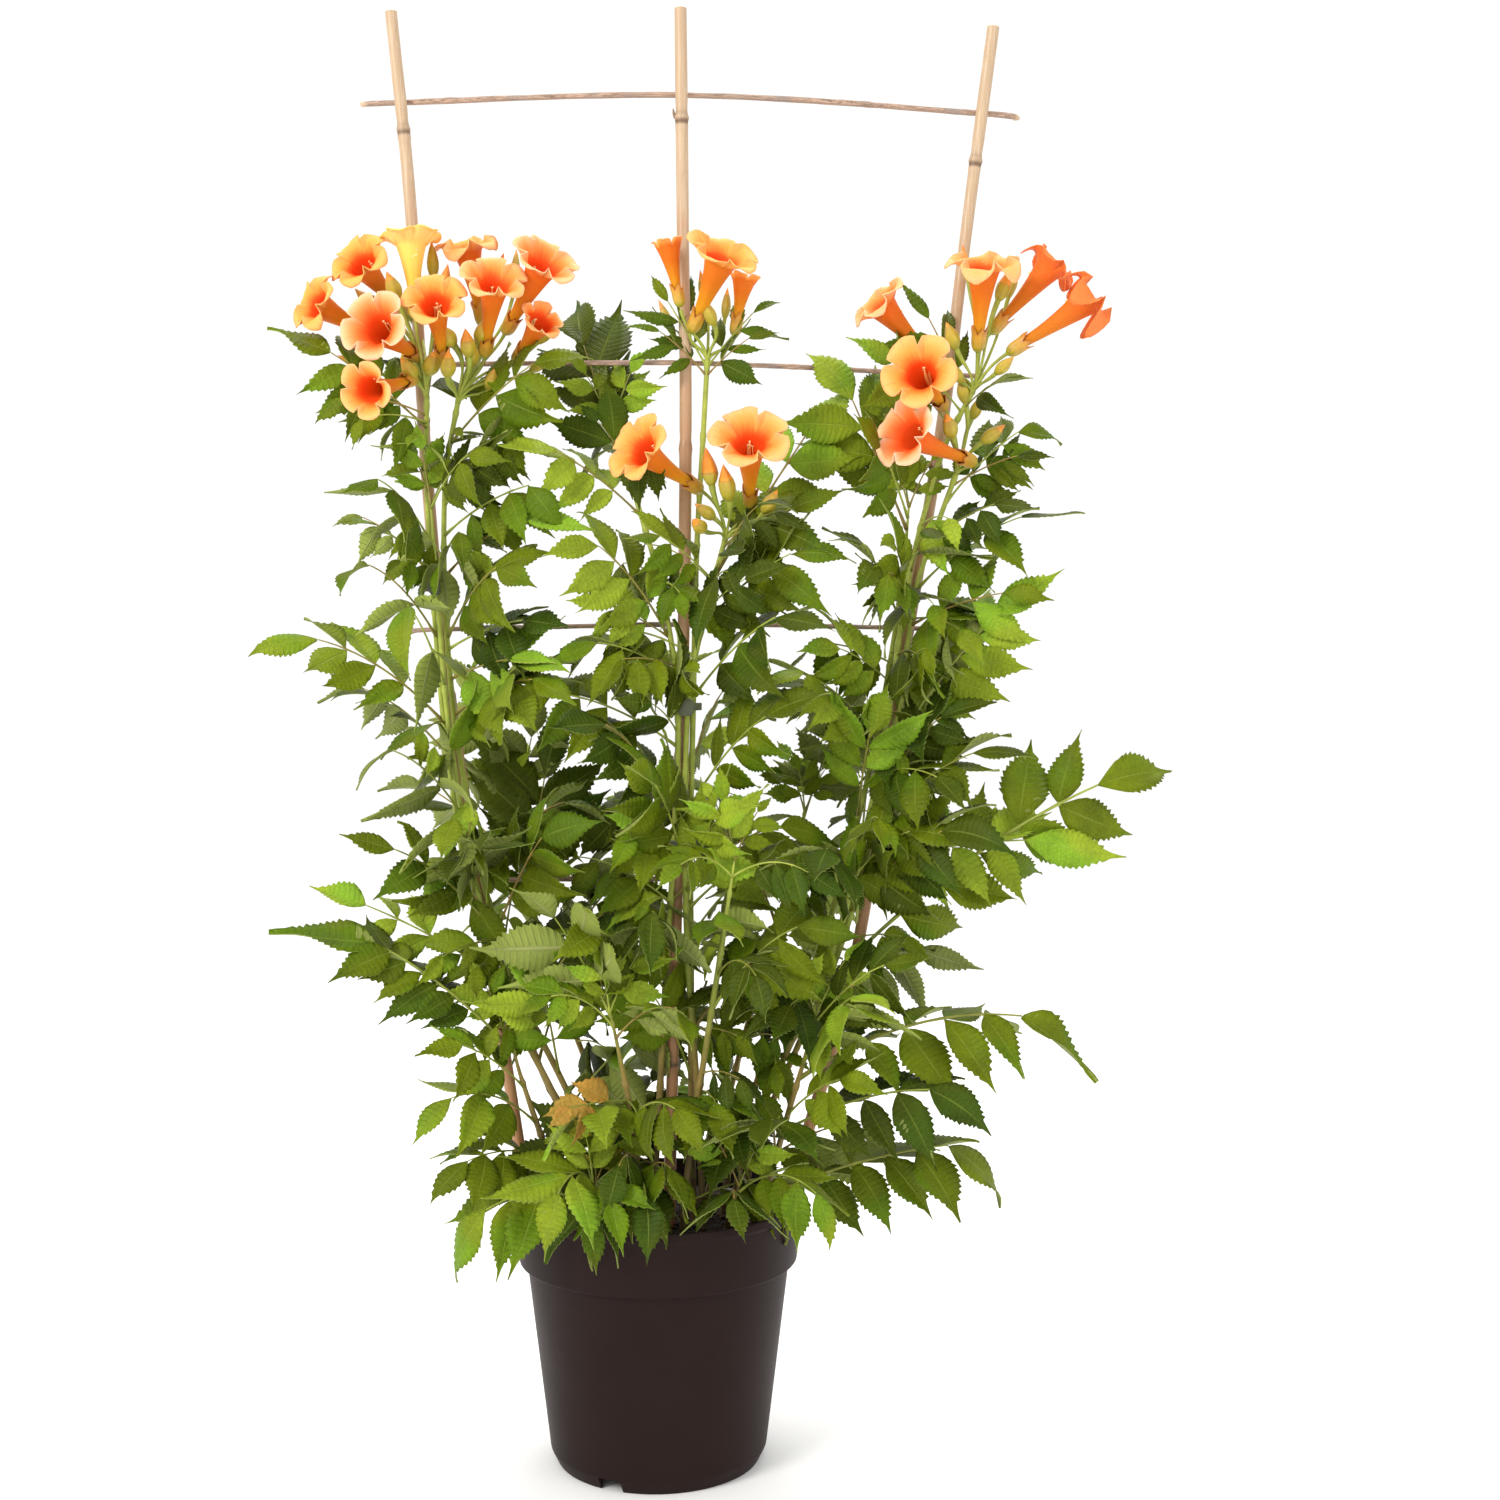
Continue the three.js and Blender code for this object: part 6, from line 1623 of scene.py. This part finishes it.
def add_bud(skin, foot, tip, radius, shows):
    """A closed bud: a short calyx and, as far as it shows, a pointed roll of petals."""
    axis = (tip - foot) * 1.12
    length = np.linalg.norm(axis)
    axes = axes_along(axis)
    theta = around(25)
    rows, tones = [], []
    split = 1.0 - 0.75 * shows
    for t, r in BUD_ROWS:
        ridge = 1 + 0.08 * np.cos(5 * theta) * min(1, 3 * t)
        twist = theta + 0.5 * t * shows
        waist = 1.0 if t < split else 0.93
        reach = radius * r * waist * ridge
        rows.append(ring_at(reach, twist, t * length))
        tones.append(0.1 + 0.25 * t if t < split else 0.55 + 0.45 * t * min(1, shows + 0.4))
    add_rings(skin, foot + np.array(rows) @ axes, [foot, foot + axis * 1.02], 2, tones)


def build_trusses():
    looks = [vine_stalk, calyx, bud]
    for stem, path in STEMS.items():
        blooms, buds = blooms_of(stem), BUDS.get(stem, [])
        if not blooms and not buds:
            continue
        draw = random.Random("truss " + stem)
        skin = Skin()
        top = np.asarray(path[-1], float)
        way = unit(top - np.asarray(path[-2], float))
        for _, _, seat, mouth, size, _, _ in blooms:
            seat = np.asarray(seat, float)
            axis = unit(np.asarray(mouth, float) - seat)
            end = seat - axis * 14.5
            line = arched(top - way * 3, unit(way + 0.5 * unit(end - top)), end, axis, 14)
            radii = np.interp(np.linspace(0, 1, 15), (0, 0.1, 0.5, 0.9, 1), (1.9, 1.5, 1.25, 1.35, 1.7))
            add_tube(skin, line, radii, 8, 0, np.linspace(0.95, 0.9, 15))
            add_calyx(skin, seat, axes_along(axis), draw, 1.0 if size > 0.6 else 0.85)
        for foot, tip, radius, shows in buds:
            foot, tip = np.asarray(foot, float), np.asarray(tip, float)
            axis = unit(tip - foot)
            line = arched(top - way * 3, unit(way + 0.5 * unit(foot - top)), foot + axis * 0.6, axis, 10)
            radii = np.interp(np.linspace(0, 1, 11), (0, 0.1, 0.5, 1), (1.7, 1.3, 1.1, 0.42 * radius))
            add_tube(skin, line, radii, 7, 0, 0.92)
            add_bud(skin, foot, tip, radius, shows)
        add_tube(skin, [top - way * 6, top - way * 2, top + way * 1.5], [1.7, 2.5, 1.6], 8, 0, 0.8)
        add_piece("truss_" + stem, skin, looks, stem, sharp=60)


# ---------------------------------------------------------------- stage
# Lights: name, place, width, share of the key light's power, colour.
LIGHTS = (
    ("key_light", (-2.3, -2.6, 2.5), 1.5, 1.0, (1.0, 0.965, 0.91)),
    ("fill_light", (2.6, -2.2, 1.3), 2.2, 0.22, (0.95, 0.97, 1.0)),
    ("top_light", (0.2, 0.9, 3.0), 1.6, 0.40, (1.0, 0.98, 0.94)),
)
LIT_POINT = (0.05, 0, 0.65)
CAMERA_PLACE = (0.077, -1.650, 0.668)
CAMERA_LENS = 47.52
CAMERA_DIP = 2.5


def build_stage():
    stage = settings("vine_stage")
    half = stage.floor / 2 / MM
    skin = Skin()
    skin.add([(-half, -half, 0), (half, -half, 0), (half, half, 0), (-half, half, 0)], [(0, 1, 2, 3)])
    floor = make_object("pale_floor", skin, [pale_floor])
    world = bpy.data.worlds.new("Pale_studio")
    bpy.context.scene.world = world
    world.use_nodes = True
    sky = world.node_tree.nodes["Background"].inputs
    sky["Color"].default_value = (1.0, 0.995, 0.985, 1)
    sky["Strength"].default_value = 1.06
    for name, location, width, share, colour in LIGHTS:
        light = bpy.data.lights.new(name, "AREA")
        light.shape = "DISK"
        light.size = width
        light.energy = share * stage.key
        light.color = colour
        lamp = bpy.data.objects.new(name, light)
        bpy.context.collection.objects.link(lamp)
        lamp.location = location
        way = np.array(LIT_POINT) - location
        lamp.rotation_euler = (math.atan2(math.hypot(way[0], way[1]), -way[2]), 0,
                               math.atan2(-way[0], way[1]))
    bpy.context.scene.view_settings.view_transform = "Standard"


def build_camera():
    lens = bpy.data.cameras.new("camera")
    lens.sensor_width = 36.0
    lens.lens = CAMERA_LENS
    camera = bpy.data.objects.new("camera", lens)
    bpy.context.collection.objects.link(camera)
    camera.location = CAMERA_PLACE
    camera.rotation_euler = (math.radians(90 - CAMERA_DIP), 0, 0)
    bpy.context.scene.camera = camera


# ---------------------------------------------------------------- operators and panel
class VINE_OT_add_stage(bpy.types.Operator):
    """Adds the pale floor, soft lights and camera"""
    bl_idname = "vine.add_stage"
    bl_label = "Stage"

    def execute(self, context):
        build_camera()
        build_stage()
        return {"FINISHED"}


class VINE_OT_add_pot(bpy.types.Operator):
    """Adds the nursery pot with its rim band and drain notches"""
    bl_idname = "vine.add_pot"
    bl_label = "Pot"

    def execute(self, context):
        build_pot()
        return {"FINISHED"}


class VINE_OT_add_soil(bpy.types.Operator):
    """Adds the potting mix with bark chips"""
    bl_idname = "vine.add_soil"
    bl_label = "Potting mix"

    def execute(self, context):
        build_soil()
        return {"FINISHED"}


class VINE_OT_add_canes(bpy.types.Operator):
    """Adds the three bamboo canes"""
    bl_idname = "vine.add_canes"
    bl_label = "Canes"

    def execute(self, context):
        build_canes()
        return {"FINISHED"}


class VINE_OT_add_rails(bpy.types.Operator):
    """Adds the four split-bamboo cross rails"""
    bl_idname = "vine.add_rails"
    bl_label = "Rails"

    def execute(self, context):
        build_rails()
        return {"FINISHED"}


class VINE_OT_add_ties(bpy.types.Operator):
    """Adds the plastic ties"""
    bl_idname = "vine.add_ties"
    bl_label = "Ties"

    def execute(self, context):
        build_ties()
        return {"FINISHED"}


class VINE_OT_add_stems(bpy.types.Operator):
    """Adds the climbing stems and low shoots"""
    bl_idname = "vine.add_stems"
    bl_label = "Stems"

    def execute(self, context):
        build_stems()
        return {"FINISHED"}


class VINE_OT_add_leaves(bpy.types.Operator):
    """Adds the compound leaves of every stem"""
    bl_idname = "vine.add_leaves"
    bl_label = "Leaves"

    def execute(self, context):
        build_leaves()
        return {"FINISHED"}


class VINE_OT_add_trusses(bpy.types.Operator):
    """Adds flower stalks, calyces and buds"""
    bl_idname = "vine.add_trusses"
    bl_label = "Trusses"

    def execute(self, context):
        build_trusses()
        return {"FINISHED"}


class VINE_OT_add_blooms(bpy.types.Operator):
    """Adds the open blooms with their stamens"""
    bl_idname = "vine.add_blooms"
    bl_label = "Blooms"

    def execute(self, context):
        build_blooms()
        return {"FINISHED"}


OPERATORS = (
    VINE_OT_add_stage,
    VINE_OT_add_pot,
    VINE_OT_add_soil,
    VINE_OT_add_canes,
    VINE_OT_add_rails,
    VINE_OT_add_ties,
    VINE_OT_add_stems,
    VINE_OT_add_leaves,
    VINE_OT_add_trusses,
    VINE_OT_add_blooms,
)

GROUPS = {
    "vine_pot": PotSettings,
    "vine_trellis": TrellisSettings,
    "vine_foliage": FoliageSettings,
    "vine_flowers": FlowerSettings,
    "vine_stage": StageSettings,
}


class VINE_PT_panel(bpy.types.Panel):
    """Lists the pieces of the vine and the settings they use"""
    bl_label = "Trumpet vine"
    bl_space_type = "VIEW_3D"
    bl_region_type = "UI"
    bl_category = "Vine"

    def draw(self, context):
        for kind in OPERATORS:
            self.layout.operator(kind.bl_idname)
        for name, group in GROUPS.items():
            box = self.layout.box()
            for label in group.__annotations__:
                box.prop(getattr(context.scene, name), label)


def register():
    for kind in (*GROUPS.values(), *OPERATORS, VINE_PT_panel):
        bpy.utils.register_class(kind)
    for name, group in GROUPS.items():
        setattr(bpy.types.Scene, name, bpy.props.PointerProperty(type=group))


def unregister():
    for name in GROUPS:
        delattr(bpy.types.Scene, name)
    for kind in (VINE_PT_panel, *reversed(OPERATORS), *GROUPS.values()):
        bpy.utils.unregister_class(kind)


def main():
    register()
    bpy.ops.vine.add_stage()
    bpy.ops.vine.add_pot()
    bpy.ops.vine.add_soil()
    bpy.ops.vine.add_canes()
    bpy.ops.vine.add_rails()
    bpy.ops.vine.add_ties()
    bpy.ops.vine.add_stems()
    bpy.ops.vine.add_leaves()
    bpy.ops.vine.add_trusses()
    bpy.ops.vine.add_blooms()


if __name__ == "__main__":
    main()
